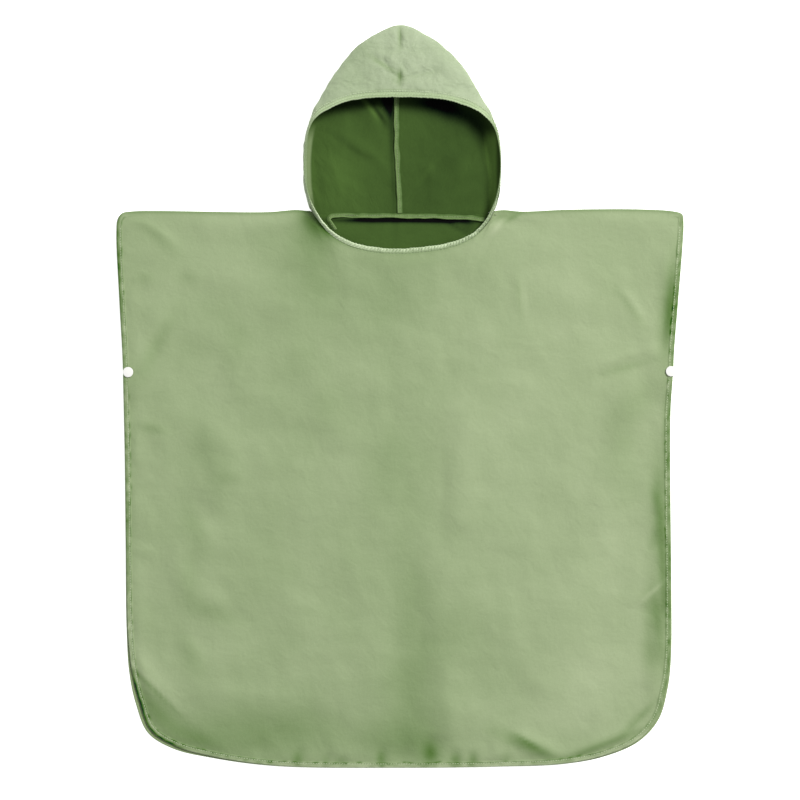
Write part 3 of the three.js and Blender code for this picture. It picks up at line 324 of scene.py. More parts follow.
def curve_through(points: Array, at: Array, closed: bool = False) -> Array:
    """Smooth curve through rows of points, by the centripetal Catmull-Rom rule.

    Each span between two rows is a cubic whose end slopes come from the neighbouring rows, weighed by
    the square roots of the distances between them.

    Args:
        points: rows of points.
        at: places on the curve, counted in rows, with fractions.
        closed: whether the last row leads back to the first.

    Returns:
        One point for each place.
    """
    points = points[:, None] if points.ndim == 1 else points
    count = len(points)
    spans = count if closed else count - 1
    at = np.asarray(at, float)
    at = at % spans if closed else np.clip(at, 0, spans)
    i = np.minimum(np.floor(at).astype(int), spans - 1)
    w = (at - i)[..., None]
    if closed:
        p0, p1, p2, p3 = (points[(i + k) % count] for k in (-1, 0, 1, 2))
    else:
        padded = np.vstack([2 * points[0] - points[1], points, 2 * points[-1] - points[-2]])
        p0, p1, p2, p3 = (padded[i + k] for k in range(4))
    d0, d1, d2 = (
        np.sqrt(np.maximum(np.linalg.norm(b - a, axis=-1, keepdims=True), 1e-4))
        for a, b in ((p0, p1), (p1, p2), (p2, p3))
    )
    t1 = ((p1 - p0) / d0 - (p2 - p0) / (d0 + d1) + (p2 - p1) / d1) * d1
    t2 = ((p2 - p1) / d1 - (p3 - p1) / (d1 + d2) + (p3 - p2) / d2) * d1
    return p1 + w * (t1 + w * (3 * (p2 - p1) - 2 * t1 - t2 + w * (2 * (p1 - p2) + t1 + t2)))


def even_places(points: Callable[[Array], Array], low: float, high: float, step: float) -> Array:
    """Places on a curve that are evenly spaced along its length.

    Args:
        points: the curve.
        low: first place.
        high: last place.
        step: wanted spacing in millimetres.

    Returns:
        The places, first and last included.
    """
    fine = np.linspace(low, high, 4000)
    found = points(fine)
    run = np.concatenate([[0], np.cumsum(np.linalg.norm(np.diff(found, axis=0), axis=1))])
    count = max(2, int(round(run[-1] / step)) + 1)
    return np.interp(np.linspace(0, run[-1], count), run, fine)


def crease_height(table: Table, xy: Array) -> Array:
    """Height that a table of creases adds at points in plan.

    A crease is a bell-shaped ridge or trough about a bowed line. It fades out towards both ends, and
    one of its flanks is steeper than the other.

    Args:
        table: the creases.
        xy: points in plan, on the last axis.

    Returns:
        Heights in millimetres.
    """
    total = np.zeros(xy.shape[:-1])
    for x0, y0, x1, y1, bow, width, height in table.values:
        start = np.array([x0, y0])
        run = np.array([x1, y1]) - start
        length = math.hypot(*run)
        ahead = run / length
        offset = xy - start
        t = (offset @ ahead) / length
        across = offset @ np.array([-ahead[1], ahead[0]]) - bow * 4 * t * (1 - t)
        near = np.clip(t, 0, 1)
        ends = np.sin(np.pi * near) ** 0.8 * smoothstep(-0.25, 0.05, t) * smoothstep(1.25, 0.95, t)
        flank = np.where(across > 0, width, width * 1.7)
        total += height * ends * np.exp(-(across / flank) ** 2)
    return total


def fold_height(xy: Array) -> Array:
    """Height of the soft folds of the front: ridges that fade along their length and their width."""
    total = np.zeros(xy.shape[:-1])
    for x, y, angle, length, width, height in FOLDS.values:
        c, s = math.cos(math.radians(angle)), math.sin(math.radians(angle))
        dx, dy = xy[..., 0] - x, xy[..., 1] - y
        along = (dx * c + dy * s) / (length / 2)
        across = (dy * c - dx * s) / (width / 2)
        total += height * np.exp(-along ** 2 - across ** 2)
    return total


def ripple(xy: Array, size: float, seed: int, waves: int = 26) -> Array:
    """Uneven ripple between about -1 and 1: a sum of sine waves of seeded directions and phases.

    Args:
        xy: points in plan.
        size: middle wavelength in millimetres.
        seed: seed of the directions, lengths and phases.
        waves: number of sine waves.

    Returns:
        The ripple's value at each point.
    """
    rng = np.random.default_rng(seed)
    total = np.zeros(xy.shape[:-1])
    for _ in range(waves):
        angle, phase = rng.uniform(0, 2 * math.pi, 2)
        turn = 2 * math.pi / (size * rng.uniform(0.6, 1.7))
        total += np.sin(turn * (xy[..., 0] * math.cos(angle) + xy[..., 1] * math.sin(angle)) + phase)
    return total / math.sqrt(waves)


def pucker_height(run: Array, distance: Array, length: float, seed: int,
                  pitch: tuple[float, float] = (9.0, 24.0)) -> Array:
    """Height of short puckers that run inwards from a sewn edge.

    Each is a bell-shaped ridge or trough of its own width, reach and slant, at uneven steps round the
    edge. It fades with the distance from the edge.

    Args:
        run: length along the edge.
        distance: distance in from the edge.
        length: whole length of the edge.
        seed: seed of the puckers' sizes.
        pitch: least and greatest step between two puckers.

    Returns:
        Heights, about 1 at the largest.
    """
    rng = np.random.default_rng(seed)
    total = np.zeros(run.shape)
    near = distance < 70
    run_near, distance_near = run[near], distance[near]
    found = np.zeros(run_near.shape)
    at = 0.0
    while at < length:
        height = rng.uniform(0.25, 1.0) * rng.choice([-1.0, 1.0])
        width, reach, slant = rng.uniform(2.6, 6.5), rng.uniform(6, 20), rng.uniform(-0.7, 0.7)
        away = (run_near - at - slant * distance_near + length / 2) % length - length / 2
        found += height * np.exp(-(away / width) ** 2 - (distance_near / reach) ** 1.5)
        at += rng.uniform(*pitch)
    total[near] = found
    return total


def tone_share(table: Table, xy: Array) -> Array:
    """Share by which tone patches lighten or darken the colour: a sum of soft tilted spots."""
    total = np.zeros(xy.shape[:-1])
    for x, y, across, along, tilt, share in table.values:
        c, s = math.cos(math.radians(tilt)), math.sin(math.radians(tilt))
        dx, dy = xy[..., 0] - x, xy[..., 1] - y
        total += share * np.exp(-((dx * c + dy * s) / across) ** 2 - ((dy * c - dx * s) / along) ** 2)
    return total


@dataclass
class Patch:
    """Points, faces and per-point values of a mesh that is being made, in millimetres."""

    points: Array
    faces: Array
    finishes: Array
    uv: Array
    values: dict[str, Array] = field(default_factory=dict)
    creased: Array | None = None


def turned_outward(points: Array, faces: Array) -> Array:
    """Faces wound so that a closed mesh's signed volume, the sum of its cones to the origin, is positive."""
    a, b, c, d = (points[faces[:, k]] for k in range(4))
    volume = np.sum(a * (np.cross(b, c) + np.cross(c, d)))
    return faces if volume > 0 else faces[:, ::-1]


def grid_faces(rows: int, columns: int, start: int = 0, closed: bool = False) -> Array:
    """Four-sided faces of a grid of points.

    Args:
        rows: rows of points.
        columns: points in a row.
        start: number of the first point.
        closed: whether the last column joins the first.

    Returns:
        The faces, wound so that rows times columns points up.
    """
    j = np.arange(columns if closed else columns - 1)
    i = np.arange(rows - 1)[:, None]
    k = (j + 1) % columns
    quads = np.stack([i * columns + j, (i + 1) * columns + j, (i + 1) * columns + k, i * columns + k], -1)
    return quads.reshape(-1, 4) + start


def wall_patch(outer: Array, inner: Array, uv: Array, values: dict[str, Array],
               inner_values: dict[str, Array] | None = None) -> Patch:
    """Closed wall between two grids of points, outer face first and inner face second.

    Args:
        outer: grid of outer points.
        inner: grid of inner points.
        uv: grid of cloth coordinates in metres.
        values: grids of per-point values.
        inner_values: the same for the inner face, where they differ.

    Returns:
        The wall, with finish 0 on its outer face and its edges and finish 1 on its inner face, and
        creased where its faces meet its edges.
    """
    rows, columns = outer.shape[:2]
    size = rows * columns
    face = grid_faces(rows, columns)
    number = np.arange(size).reshape(rows, columns)
    border = np.concatenate([number[0, :-1], number[:-1, -1], number[-1, :0:-1], number[:0:-1, 0]])
    after = np.roll(border, -1)
    edge = np.stack([border, after, after + size, border + size], -1)
    faces = np.concatenate([face, face[:, ::-1] + size, edge])
    finishes = np.concatenate([np.zeros(len(face)), np.ones(len(face)), np.zeros(len(edge))])
    beneath = {**values, **(inner_values or {})}
    return Patch(
        np.concatenate([outer.reshape(size, 3), inner.reshape(size, 3)]),
        faces,
        finishes.astype(int),
        np.concatenate([uv.reshape(size, 2)] * 2),
        {k: np.concatenate([v.ravel(), beneath[k].ravel()]) for k, v in values.items()},
        np.arange(len(faces)) >= 2 * len(face),
    )


def grid_normals(grid: Array) -> Array:
    """Normals of a grid of points, with points that coincide sharing one normal.

    Each cell's normal is the cross product of its diagonals, so large cells weigh more. The normals
    of the cells round a point are added up and made one long.
    """
    cells = np.cross(grid[1:, 1:] - grid[:-1, :-1], grid[1:, :-1] - grid[:-1, 1:])
    keys = np.round(grid.reshape(-1, 3) * 1e3).astype(np.int64)
    _, same = np.unique(keys, axis=0, return_inverse=True)
    same = same.reshape(grid.shape[:2])
    total = np.zeros((same.max() + 1, 3))
    for corner in (same[:-1, :-1], same[1:, :-1], same[:-1, 1:], same[1:, 1:]):
        np.add.at(total, corner.ravel(), cells.reshape(-1, 3))
    return unit(total)[same]


class Workshop:
    """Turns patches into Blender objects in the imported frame."""

    def __init__(self) -> None:
        """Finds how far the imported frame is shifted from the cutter's axes, from the hood's peak."""
        peak = max(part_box(name)[1][1] for name in ("hood_left", "hood_right"))
        self.shift = np.array([0.0, peak - PEAK_Y * MM, 0.0])

    def build(self, name: str, patch: Patch, materials: Sequence[bpy.types.Material],
              weld: bool = False) -> bpy.types.Object:
        """Makes an object from a patch.

        Args:
            name: name of the object.
            patch: its points, faces and values.
            materials: materials in the order of the patch's finishes.
            weld: whether points that coincide are joined.

        Returns:
            The object, at the origin with its place in its mesh.
        """
        mesh = bpy.data.meshes.new(name)
        places = patch.points * MM + self.shift
        faces = turned_outward(patch.points, patch.faces)
        count, sides = faces.shape
        mesh.vertices.add(len(places))
        mesh.vertices.foreach_set("co", places.astype(np.float32).ravel())
        mesh.loops.add(count * sides)
        mesh.loops.foreach_set("vertex_index", faces.astype(np.int32).ravel())
        mesh.polygons.add(count)
        mesh.polygons.foreach_set("loop_start", np.arange(0, count * sides, sides, dtype=np.int32))
        mesh.polygons.foreach_set("material_index", patch.finishes.astype(np.int32))
        smooth = np.ones(count, bool) if patch.creased is None else ~patch.creased
        mesh.polygons.foreach_set("use_smooth", smooth)
        for key, value in patch.values.items():
            layer = mesh.attributes.new(key, "FLOAT", "POINT")
            layer.data.foreach_set("value", value.astype(np.float32))
        uv = mesh.uv_layers.new(name="Cloth")
        uv.data.foreach_set("uv", patch.uv[faces.ravel()].astype(np.float32).ravel())
        mesh.update(calc_edges=True)
        if patch.creased is not None:
            of_loop = np.empty(count * sides, np.int32)
            mesh.loops.foreach_get("edge_index", of_loop)
            sharp = np.zeros(len(mesh.edges), bool)
            sharp[of_loop.reshape(count, sides)[patch.creased].ravel()] = True
            mesh.edges.foreach_set("use_edge_sharp", sharp)
        if weld:
            work = bmesh.new()
            work.from_mesh(mesh)
            bmesh.ops.remove_doubles(work, verts=work.verts, dist=2e-6)
            bmesh.ops.dissolve_degenerate(work, dist=1e-6, edges=work.edges)
            bmesh.ops.recalc_face_normals(work, faces=work.faces)
            work.to_mesh(mesh)
            work.free()
        mesh.validate()
        for material in materials:
            mesh.materials.append(material)
        thing = bpy.data.objects.new(name, mesh)
        bpy.context.scene.collection.objects.link(thing)
        LOG.info("%s: %d points, %d faces", name, len(mesh.vertices), len(mesh.polygons))
        return thing


class Graph:
    """Small helper that adds nodes to a material and links them."""

    def __init__(self, name: str) -> None:
        """Makes an empty material with its output."""
        self.material = bpy.data.materials.new(name)
        self.material.use_nodes = True
        self.tree = self.material.node_tree
        self.tree.nodes.clear()
        self.out = self.tree.nodes.new("ShaderNodeOutputMaterial")
        self.shader = self.tree.nodes.new("ShaderNodeBsdfPrincipled")
        self.tree.links.new(self.shader.outputs[0], self.out.inputs[0])

    def add(self, kind: str, inputs: dict | None = None, **settings: object) -> bpy.types.Node:
        """Adds a node.

        Args:
            kind: the node's type without its ShaderNode prefix.
            inputs: values or sockets for its inputs, by name or number.
            settings: the node's own properties.

        Returns:
            The node.
        """
        node = self.tree.nodes.new("ShaderNode" + kind)
        for key, value in settings.items():
            setattr(node, key, value)
        for key, value in (inputs or {}).items():
            if isinstance(value, bpy.types.NodeSocket):
                self.tree.links.new(value, node.inputs[key])
            else:
                node.inputs[key].default_value = value
        return node

    def math(self, operation: str, a: object, b: object = 0.0) -> bpy.types.NodeSocket:
        """Result of one sum or product of two values or sockets."""
        return self.add("Math", {0: a, 1: b}, operation=operation).outputs[0]

    def finish(self, **values: object) -> bpy.types.Material:
        """Sets the shader's own inputs and gives the material back."""
        for key, value in values.items():
            socket = self.shader.inputs[key.replace("_", " ").title().replace("Ior", "IOR")]
            if isinstance(value, bpy.types.NodeSocket):
                self.tree.links.new(value, socket)
            else:
                socket.default_value = value
        return self.material


@dataclass(frozen=True)
class ClothFinish:
    """Coated plain-weave cloth.

    Colours are linear. The tone attribute, which carries the colour's level and painted light and shade, moves the
    colour from deep towards pale, and a slow and a fine noise add a little to it. The inside attribute mixes in the
    lining side's colour: on the back the other side of its turned hem, on other pieces painted shade, and on the
    hood's left wall painted light. The weave is the product of two sine waves, one thread a half wave. Wrinkles are
    soft noise at three sizes.
    """

    name: str
    deep: tuple[float, float, float]
    pale: tuple[float, float, float]
    lining: tuple[float, float, float] = (0.046, 0.10, 0.014)
    drift: float = 0.10
    roughness: float = 0.62
    specular: float = 0.22
    sheen: float = 0.04
    thread: float = 0.00042
    weave_depth: float = 0.00005
    crinkle_depth: float = 0.0003
    wrinkle_depth: float = 0.0009

    def material(self) -> bpy.types.Material:
        """Builds the cloth's material."""
        g = Graph(self.name)
        place = g.add("UVMap", uv_map="Cloth").outputs[0]
        split = g.add("SeparateXYZ", {0: place})
        turn = math.pi / self.thread
        warp, weft = (g.math("SINE", g.math("MULTIPLY", split.outputs[k], turn)) for k in (0, 1))
        weave = g.math("MULTIPLY", warp, weft)
        crinkle = g.add("TexNoise", {"Vector": place, "Scale": 240.0, "Detail": 3.0, "Roughness": 0.55})
        wrinkle = g.add("TexNoise", {"Vector": place, "Scale": 48.0, "Detail": 2.0, "Distortion": 0.5})
        slow = g.add("TexNoise", {"Vector": place, "Scale": 11.0, "Detail": 4.0, "Roughness": 0.6})
        speck = g.add("TexNoise", {"Vector": place, "Scale": 520.0, "Detail": 2.0})
        broad = g.add("Bump", {"Height": wrinkle.outputs[0], "Distance": self.wrinkle_depth, "Strength": 1.0})
        small = g.add("Bump", {"Height": crinkle.outputs[0], "Distance": self.crinkle_depth,
                               "Strength": 1.0, "Normal": broad.outputs[0]})
        fine = g.add("Bump", {"Height": weave, "Distance": self.weave_depth, "Strength": 0.5,
                              "Normal": small.outputs[0]})
        drift = g.math("MULTIPLY", g.math("SUBTRACT", slow.outputs[0], 0.5), self.drift * 5)
        grain = g.math("MULTIPLY", g.math("SUBTRACT", speck.outputs[0], 0.5), self.drift * 1.8)
        tone = g.add("Attribute", attribute_name="tone").outputs["Fac"]
        share = g.math("ADD", g.math("ADD", drift, grain), tone)
        span = tuple(p - d for p, d in zip(self.pale, self.deep))
        scaled = g.add("VectorMath", {0: span, "Scale": share}, operation="SCALE").outputs[0]
        colour = g.add("VectorMath", {0: scaled, 1: self.deep}, operation="ADD").outputs[0]
        inside = g.add("Attribute", attribute_name="inside").outputs["Fac"]
        mixed = g.add("Mix", data_type="RGBA")
        g.tree.links.new(inside, mixed.inputs["Factor"])
        g.tree.links.new(colour, mixed.inputs[6])
        mixed.inputs[7].default_value = (*self.lining, 1.0)
        return g.finish(base_color=mixed.outputs[2], normal=fine.outputs[0], roughness=self.roughness,
                        specular_ior_level=self.specular, sheen_weight=self.sheen, sheen_roughness=0.45)


@dataclass(frozen=True)
class ThreadFinish:
    """Sewing thread: one colour with fine slanting strands."""

    name: str
    colour: tuple[float, float, float]
    strand: float = 0.00035

    def material(self) -> bpy.types.Material:
        """Builds the thread's material."""
        g = Graph(self.name)
        place = g.add("TexCoord").outputs["Object"]
        split = g.add("SeparateXYZ", {0: place})
        slant = g.math("ADD", split.outputs[0], split.outputs[1])
        strand = g.math("SINE", g.math("MULTIPLY", slant, 2 * math.pi / self.strand))
        share = g.math("ADD", g.math("MULTIPLY", strand, 0.06), 1.0)
        colour = g.add("VectorMath", {0: self.colour, "Scale": share}, operation="SCALE").outputs[0]
        bump = g.add("Bump", {"Height": strand, "Distance": 0.00004, "Strength": 0.6}).outputs[0]
        return g.finish(base_color=colour, normal=bump, roughness=0.55, sheen_weight=0.3)


@dataclass(frozen=True)
class PlasticFinish:
    """Moulded white plastic with a faint orange-peel surface."""

    name: str
    colour: tuple[float, float, float] = (0.86, 0.86, 0.84)
    roughness: float = 0.28

    def material(self) -> bpy.types.Material:
        """Builds the plastic's material."""
        g = Graph(self.name)
        place = g.add("TexCoord").outputs["Object"]
        peel = g.add("TexNoise", {"Vector": place, "Scale": 1400.0, "Detail": 2.0})
        cloud = g.add("TexNoise", {"Vector": place, "Scale": 160.0, "Detail": 2.0})
        share = g.math("ADD", g.math("MULTIPLY", cloud.outputs[0], 0.05), 0.97)
        colour = g.add("VectorMath", {0: self.colour, "Scale": share}, operation="SCALE").outputs[0]
        bump = g.add("Bump", {"Height": peel.outputs[0], "Distance": 0.00002, "Strength": 0.5}).outputs[0]
        return g.finish(base_color=colour, normal=bump, roughness=self.roughness, coat_weight=0.15,
                        subsurface_weight=0.0)


@dataclass(frozen=True)
class FloorFinish:
    """Plain white floor, lit a little from within like a photographer's light table."""

    name: str = "pale_floor"
    colour: tuple[float, float, float] = (0.9, 0.9, 0.9)
    glow: float = 0.75

    def material(self) -> bpy.types.Material:
        """Builds the floor's material."""
        g = Graph(self.name)
        place = g.add("TexCoord").outputs["Object"]
        cloud = g.add("TexNoise", {"Vector": place, "Scale": 3.0, "Detail": 2.0})
        share = g.math("ADD", g.math("MULTIPLY", cloud.outputs[0], 0.01), 0.995)
        colour = g.add("VectorMath", {0: self.colour, "Scale": share}, operation="SCALE").outputs[0]
        return g.finish(base_color=colour, roughness=0.9, emission_color=(1.0, 1.0, 1.0, 1.0),
                        emission_strength=self.glow)


class OpeningRim:
    """Free edge of the face and neck opening, as a closed curve with the cloth's slope along it."""

    def __init__(self) -> None:
        """Joins the neckline and both hood halves into one ring of stations."""
        hood = {side: table["rim_x rim_y rim_z lean"] for side, table in HOOD_SECTIONS.items()}
        self.stations = np.vstack([NECKLINE.values, hood[Side.RIGHT], hood[Side.LEFT][-2::-1]])
        self.forehead = len(NECKLINE) + len(hood[Side.RIGHT]) - 1
        self.count = len(self.stations)

    def place_of(self, side: Side, section: Array) -> Array:
        """Place on the ring of a hood section."""
        if side is Side.RIGHT:
            return len(NECKLINE) + section
        return self.forehead + (len(HOOD_SECTIONS[side]) - 1 - section)

    def points(self, at: Array) -> Array:
        """Points of the free edge."""
        return curve_through(self.stations[:, :3], at, closed=True)

    def frames(self, at: Array) -> dict[str, Array]:
        """Edge point and directions at places on the ring.

        Outward is level and square to the edge. Into follows the cloth away from the edge: outward
        turned down by the lean. Face is the cloth's upper side, square to both.

        Args:
            at: places on the ring.

        Returns:
            The arrays edge, along, outward, into and face.
        """
        edge = self.points(at)
        along = unit(self.points(at + 0.04) - self.points(at - 0.04))
        level = np.stack([along[..., 1], -along[..., 0], np.zeros(edge.shape[:-1])], -1)
        outward = unit(level)
        lean = np.radians(curve_through(self.stations[:, 3], at, closed=True)[..., 0])[..., None]
        into = outward * np.cos(lean) - np.array([0, 0, 1.0]) * np.sin(lean)
        face = unit(np.cross(into, along))
        return {"edge": edge, "along": along, "outward": outward, "into": into, "face": face}


@dataclass
class EdgePlaces:
    """Points of a panel's edge: hem share, rise at the neck, gathers, run, spoke and spoke's slant."""

    point: Array
    hem: Array
    neck: Array
    gather: Array
    run: Array
    spoke: Array
    slant: Array

    def inwards(self, distance: Array) -> Array:
        """Points in plan at distances in from the edge, along the spokes."""
        return self.point + self.spoke * (distance / self.slant)[..., None]


@dataclass
class BodyPanel:
    """Front or back panel of the body, with turned and stitched hems on its sides and bottom.

    The panel is a grid of squares round its middle: ring k of the grid follows the panel's edge, and a
    spoke runs from each point of the edge to the middle. The outer rings stand at set distances from
    the edge, where the hem is, and the others share the rest of the spoke evenly.
    """

    layer: Layer
    rim: OpeningRim
    half_cells: int = 104
    stitch_line: float = 4.4
    snap_places: tuple[tuple[float, float], ...] = ((-326.6, 28.5), (325.6, 29.5))
    snap_flat: float = 13.0
    back_at_snap: float = 1.45
    front_at_snap: float = 6.85
    ring_stops: tuple[float, ...] = (
        0, 0.25, 0.7, 1.3, 2.1, 3.0, 3.7, 4.1, 4.4, 4.7, 5.1, 5.6, 6.0, 6.4, 6.9, 7.6, 8.7, 10.4, 12.6, 15.2, 18,
    )

    def __post_init__(self) -> None:
        """Lays the edge out as four sides, each read by its share of length."""
        front = self.layer is Layer.FRONT
        marks = np.arange(0, len(BODY_EDGE) - 1 + 1e-9, 0.02)
        side = curve_through(BODY_EDGE["x y"], marks)
        hem = np.interp(marks, np.arange(len(BODY_EDGE)), BODY_EDGE["hem"])
        inset = np.interp(marks, np.arange(len(BODY_EDGE)), BODY_EDGE["front"]) * front
        ahead = unit(np.gradient(side, axis=0))
        side = side + np.stack([-ahead[:, 1], ahead[:, 0]], -1) * inset[:, None]
        neck_xy, neck_height = self._neck()
        loop = np.vstack([side, neck_xy])
        gather = np.concatenate([hem, np.full(len(neck_xy), 0.8 if front else 0.0)])
        hem = np.concatenate([hem, np.zeros(len(neck_xy))])
        height = np.concatenate([np.zeros(len(side)), neck_height])
        run = np.concatenate([[0], np.cumsum(np.linalg.norm(np.diff(loop, axis=0), axis=1))])
        closing = np.linalg.norm(loop[0] - loop[-1])
        self.length = run[-1] + closing
        corners = np.interp(CORNER_ROWS, marks, run[: len(marks)])
        self.marks = np.concatenate([corners, [corners[0] + self.length]])
        self.run = np.concatenate([run - self.length, run, run + self.length])
        order = np.tile(np.arange(len(loop)), 3)
        self.edge = np.column_stack([loop, hem, height, gather])[order]

    def _neck(self) -> tuple[Array, Array]:
        """Edge at the neck from right to left, with the rise of the front panel there."""
        if self.layer is Layer.BACK:
            at, rows = np.arange(1, len(BACK_NECK) - 1.5, 0.05), np.arange(len(BACK_NECK))
            xy = np.stack([np.interp(at, rows, BACK_NECK[k]) for k in "xy"], -1)
            return xy + np.array([0, SEAM_TUCK / 4]), np.zeros(len(xy))
        under_binding = 1.4
        parts = []
        for side in (Side.RIGHT, Side.LEFT):
            table = HOOD_SECTIONS[side]
            at = np.linspace(3, 0, 60)
            seam = curve_through(table["fold_x fold_y fold_z"], at)
            frames = self.rim.frames(self.rim.place_of(side, at))
            seam[:, :2] += frames["outward"][:, :2] * 0.15
            parts.append(seam if side is Side.RIGHT else seam[::-1])
        frames = self.rim.frames(np.linspace(len(NECKLINE) - 1, 0, 160))
        bound = frames["edge"] + frames["into"] * (BINDING_WIDTH - under_binding)
        points = np.vstack([parts[0], bound, parts[1]])
        return points[:, :2], points[:, 2] - CLOTH - FRONT_REST

    def edge_at(self, place: Array) -> "EdgePlaces":
        """Edge points and what belongs to them, at places from 0 to 4 round the four sides."""
        run = np.interp(place, np.arange(5), self.marks)
        found = np.stack([np.interp(run, self.run, column) for column in self.edge.T], -1)
        reach = 2.0
        ahead, behind = (
            np.stack([np.interp(run + step, self.run, self.edge[:, k]) for k in (0, 1)], -1)
            for step in (reach, -reach)
        )
        inward = unit(np.stack([-(ahead - behind)[..., 1], (ahead - behind)[..., 0]], -1))
        point = found[..., :2]
        spoke = unit(MIDDLE - point)
        slant = np.maximum(0.7, np.sum(spoke * inward, -1))
        return EdgePlaces(point, found[..., 2], found[..., 3], found[..., 4], run, spoke, slant)

    def heights(self, xy: Array, distance: Array, edge: "EdgePlaces") -> tuple[Array, Array]:
        """Underside and top of the cloth.

        The front lies on the back with its folds, lifts over the back's hem, rises to the neck with an
        exponential fall-off, and climbs to the fasteners. The hem is a second layer, rounded at the
        edge, pressed in along the stitches and puckered between them.

        Args:
            xy: points in plan.
            distance: distance in from the edge.
            edge: what belongs to the edge points of the spokes.

        Returns:
            Heights of the underside and of the top.
        """
        hem, neck = edge.hem, edge.neck
        close = np.minimum(*(np.hypot(xy[..., 0] - x, xy[..., 1] - y) for x, y in self.snap_places))
        free = smoothstep(5, 14, close)
        if self.layer is Layer.FRONT:
            low = FRONT_REST + FRONT_HEM_LIFT * hem * smoothstep(32, 8, distance)
            low = low + fold_height(xy) * smoothstep(6, 50, distance) + neck * np.exp(-distance / NECK_SPREAD)
            bumps = (1.2 * crease_height(FRONT_CREASES, xy) + 0.75 * ripple(xy, 95, 11)
                     + 0.28 * ripple(xy, 40, 12) + 0.10 * ripple(xy, 17, 13))
            low = low + (bumps + 0.9) * smoothstep(0, 16, distance)
            low = low + 0.5 * pucker_height(edge.run, distance, self.length, 5) * edge.gather
            low = np.maximum(low, SHELL * (1 + hem) + 0.15)
            low = low + (self.front_at_snap - low) * (1 - smoothstep(self.snap_flat - 6, 46, close))
            rise = CLOTH - SHELL
        else:
            bumps = crease_height(BACK_CREASES, xy) + 0.25 * ripple(xy, 60, 21) + 0.1 * ripple(xy, 22, 22) + 0.3
            low = np.maximum(0, bumps) * smoothstep(6, 26, distance) * 0.6
            low = np.maximum(low, self.back_at_snap * (1 - smoothstep(self.snap_flat, 26, close)))
            rise = 0.0
        layers = SHELL * hem * smoothstep(HEM_WIDTH + 0.7, HEM_WIDTH - 0.2, distance)
        pressed = 0.3 * hem * free * np.exp(-((distance - self.stitch_line) / 0.5) ** 2)
        full = low + rise + SHELL + layers * 1.05 - pressed
        roll = 1.0 + 0.9 * (1 - hem)
        curl = np.sqrt(1 - (1 - np.clip(distance / roll, 0, 1)) ** 2)
        if self.layer is Layer.FRONT:
            base = np.where(hem > 0.5, low + rise + 0.35 * SHELL, FRONT_REST - 0.25 + neck)
            under = low + rise - (1 - hem) * (low + rise - base) * (1 - curl)
            return np.minimum(under, base - 0.08 + curl * 5), base + (full - base) * curl
        groove = 0.42 * hem * free * np.exp(-((distance - self.stitch_line) / 0.8) ** 2)
        return low + groove, low + 0.35 * SHELL + (full - low - 0.35 * SHELL) * curl

    def tones(self, xy: Array, distance: Array, edge: "EdgePlaces") -> Array:
        """Lighter and darker places: painted light and shade on the hem's fold, darker along the sides' edges and
        lighter along the bottom fold, painted shade along the stitch line, uneven flecks on the hem strip, painted
        shadows beside the neck's binding and under the lower left corner, and the front's table of painted light and
        shade.
        """
        bottom = smoothstep(-340, -425, xy[..., 1])
        wander = ripple(np.stack([edge.run, 0 * edge.run], -1), 26, 61)
        # Painted light and shade on the hem's rounded fold: a highlight where lit, along the bottom and the lower
        # left, and shade along the sides
        fold = np.exp(-(distance / 2.9) ** 2)
        lit = np.maximum(bottom, 0.8 * smoothstep(-150, -300, xy[..., 1]) * smoothstep(0, -100, xy[..., 0]))
        flecks = ripple(np.stack([edge.run, 0 * edge.run], -1), 8, 63)
        # Painted shade along the pressed stitch line of the hem, broken into uneven dark flecks
        seam = np.exp(-((distance - self.stitch_line - 0.7 - 0.9 * wander) / 1.1) ** 2) * edge.hem
        tone = 0.62 + fold * (0.38 * lit - 0.62 * (1 - lit)) * np.maximum(edge.hem, 1 - edge.gather)
        tone = tone - 0.44 * seam * np.clip(0.75 + 1.3 * flecks + 0.5 * wander, 0, 1.9)
        # Uneven lighter and darker flecks on the hem strip
        strip = smoothstep(7.5, 5.5, distance) * edge.hem
        hem_strip_flecks = ripple(np.stack([edge.run, distance], -1), 9, 62)
        tone = tone + strip * (0.14 * wander + 0.2 * hem_strip_flecks)
        # Painted shadow of the binding on the front beside the neck, strongest on the left
        neck_painted_shadow = np.minimum(1, edge.neck / 3) * (smoothstep(-50, -84, xy[..., 0]) + 0.25)
        tone = tone - 0.7 * neck_painted_shadow * np.exp(-(distance / 2.6) ** 2)
        # Painted shadow in the gap under the lower left corner
        corner = smoothstep(-318, -342, xy[..., 1]) * smoothstep(-250, -276, xy[..., 0])
        tone = tone - 1.5 * corner * np.exp(-(distance / 2.5) ** 4)
        return tone + (tone_share(FRONT_PAINTED_LIGHT_SHADE, xy) if self.layer is Layer.FRONT else -0.05)

    def patch(self) -> Patch:
        """Grid of squares round the middle, as a closed wall."""
        m = self.half_cells
        u, v = np.meshgrid(np.arange(-m, m + 1), np.arange(-m, m + 1), indexing="ij")
        ring = np.maximum(abs(u), abs(v))
        safe = np.maximum(ring, 1)
        top, left, bottom = (v == ring), (u == -ring) & (abs(v) < ring), (v == -ring)
        share = np.select([top, left, bottom], [-u, -v, u], v) / safe / 2 + 0.5
        place = share + np.select([top, left, bottom], [3, 0, 1], 2)
        edge = self.edge_at(place)
        whole = np.linalg.norm(MIDDLE - edge.point, axis=-1) * edge.slant
        outer = np.array(self.ring_stops)
        depth = m - ring
        inner = outer[-1] + (whole - outer[-1]) * (depth - len(outer) + 1) / (m - len(outer) + 1)
        distance = np.where(depth < len(outer), outer[np.minimum(depth, len(outer) - 1)], inner)
        xy = edge.inwards(distance)
        low, high = self.heights(xy, distance, edge)
        tone = self.tones(xy, distance, edge)
        upper = np.concatenate([xy, high[..., None]], -1)
        under = np.concatenate([xy, low[..., None]], -1)
        rear = self.layer is Layer.BACK
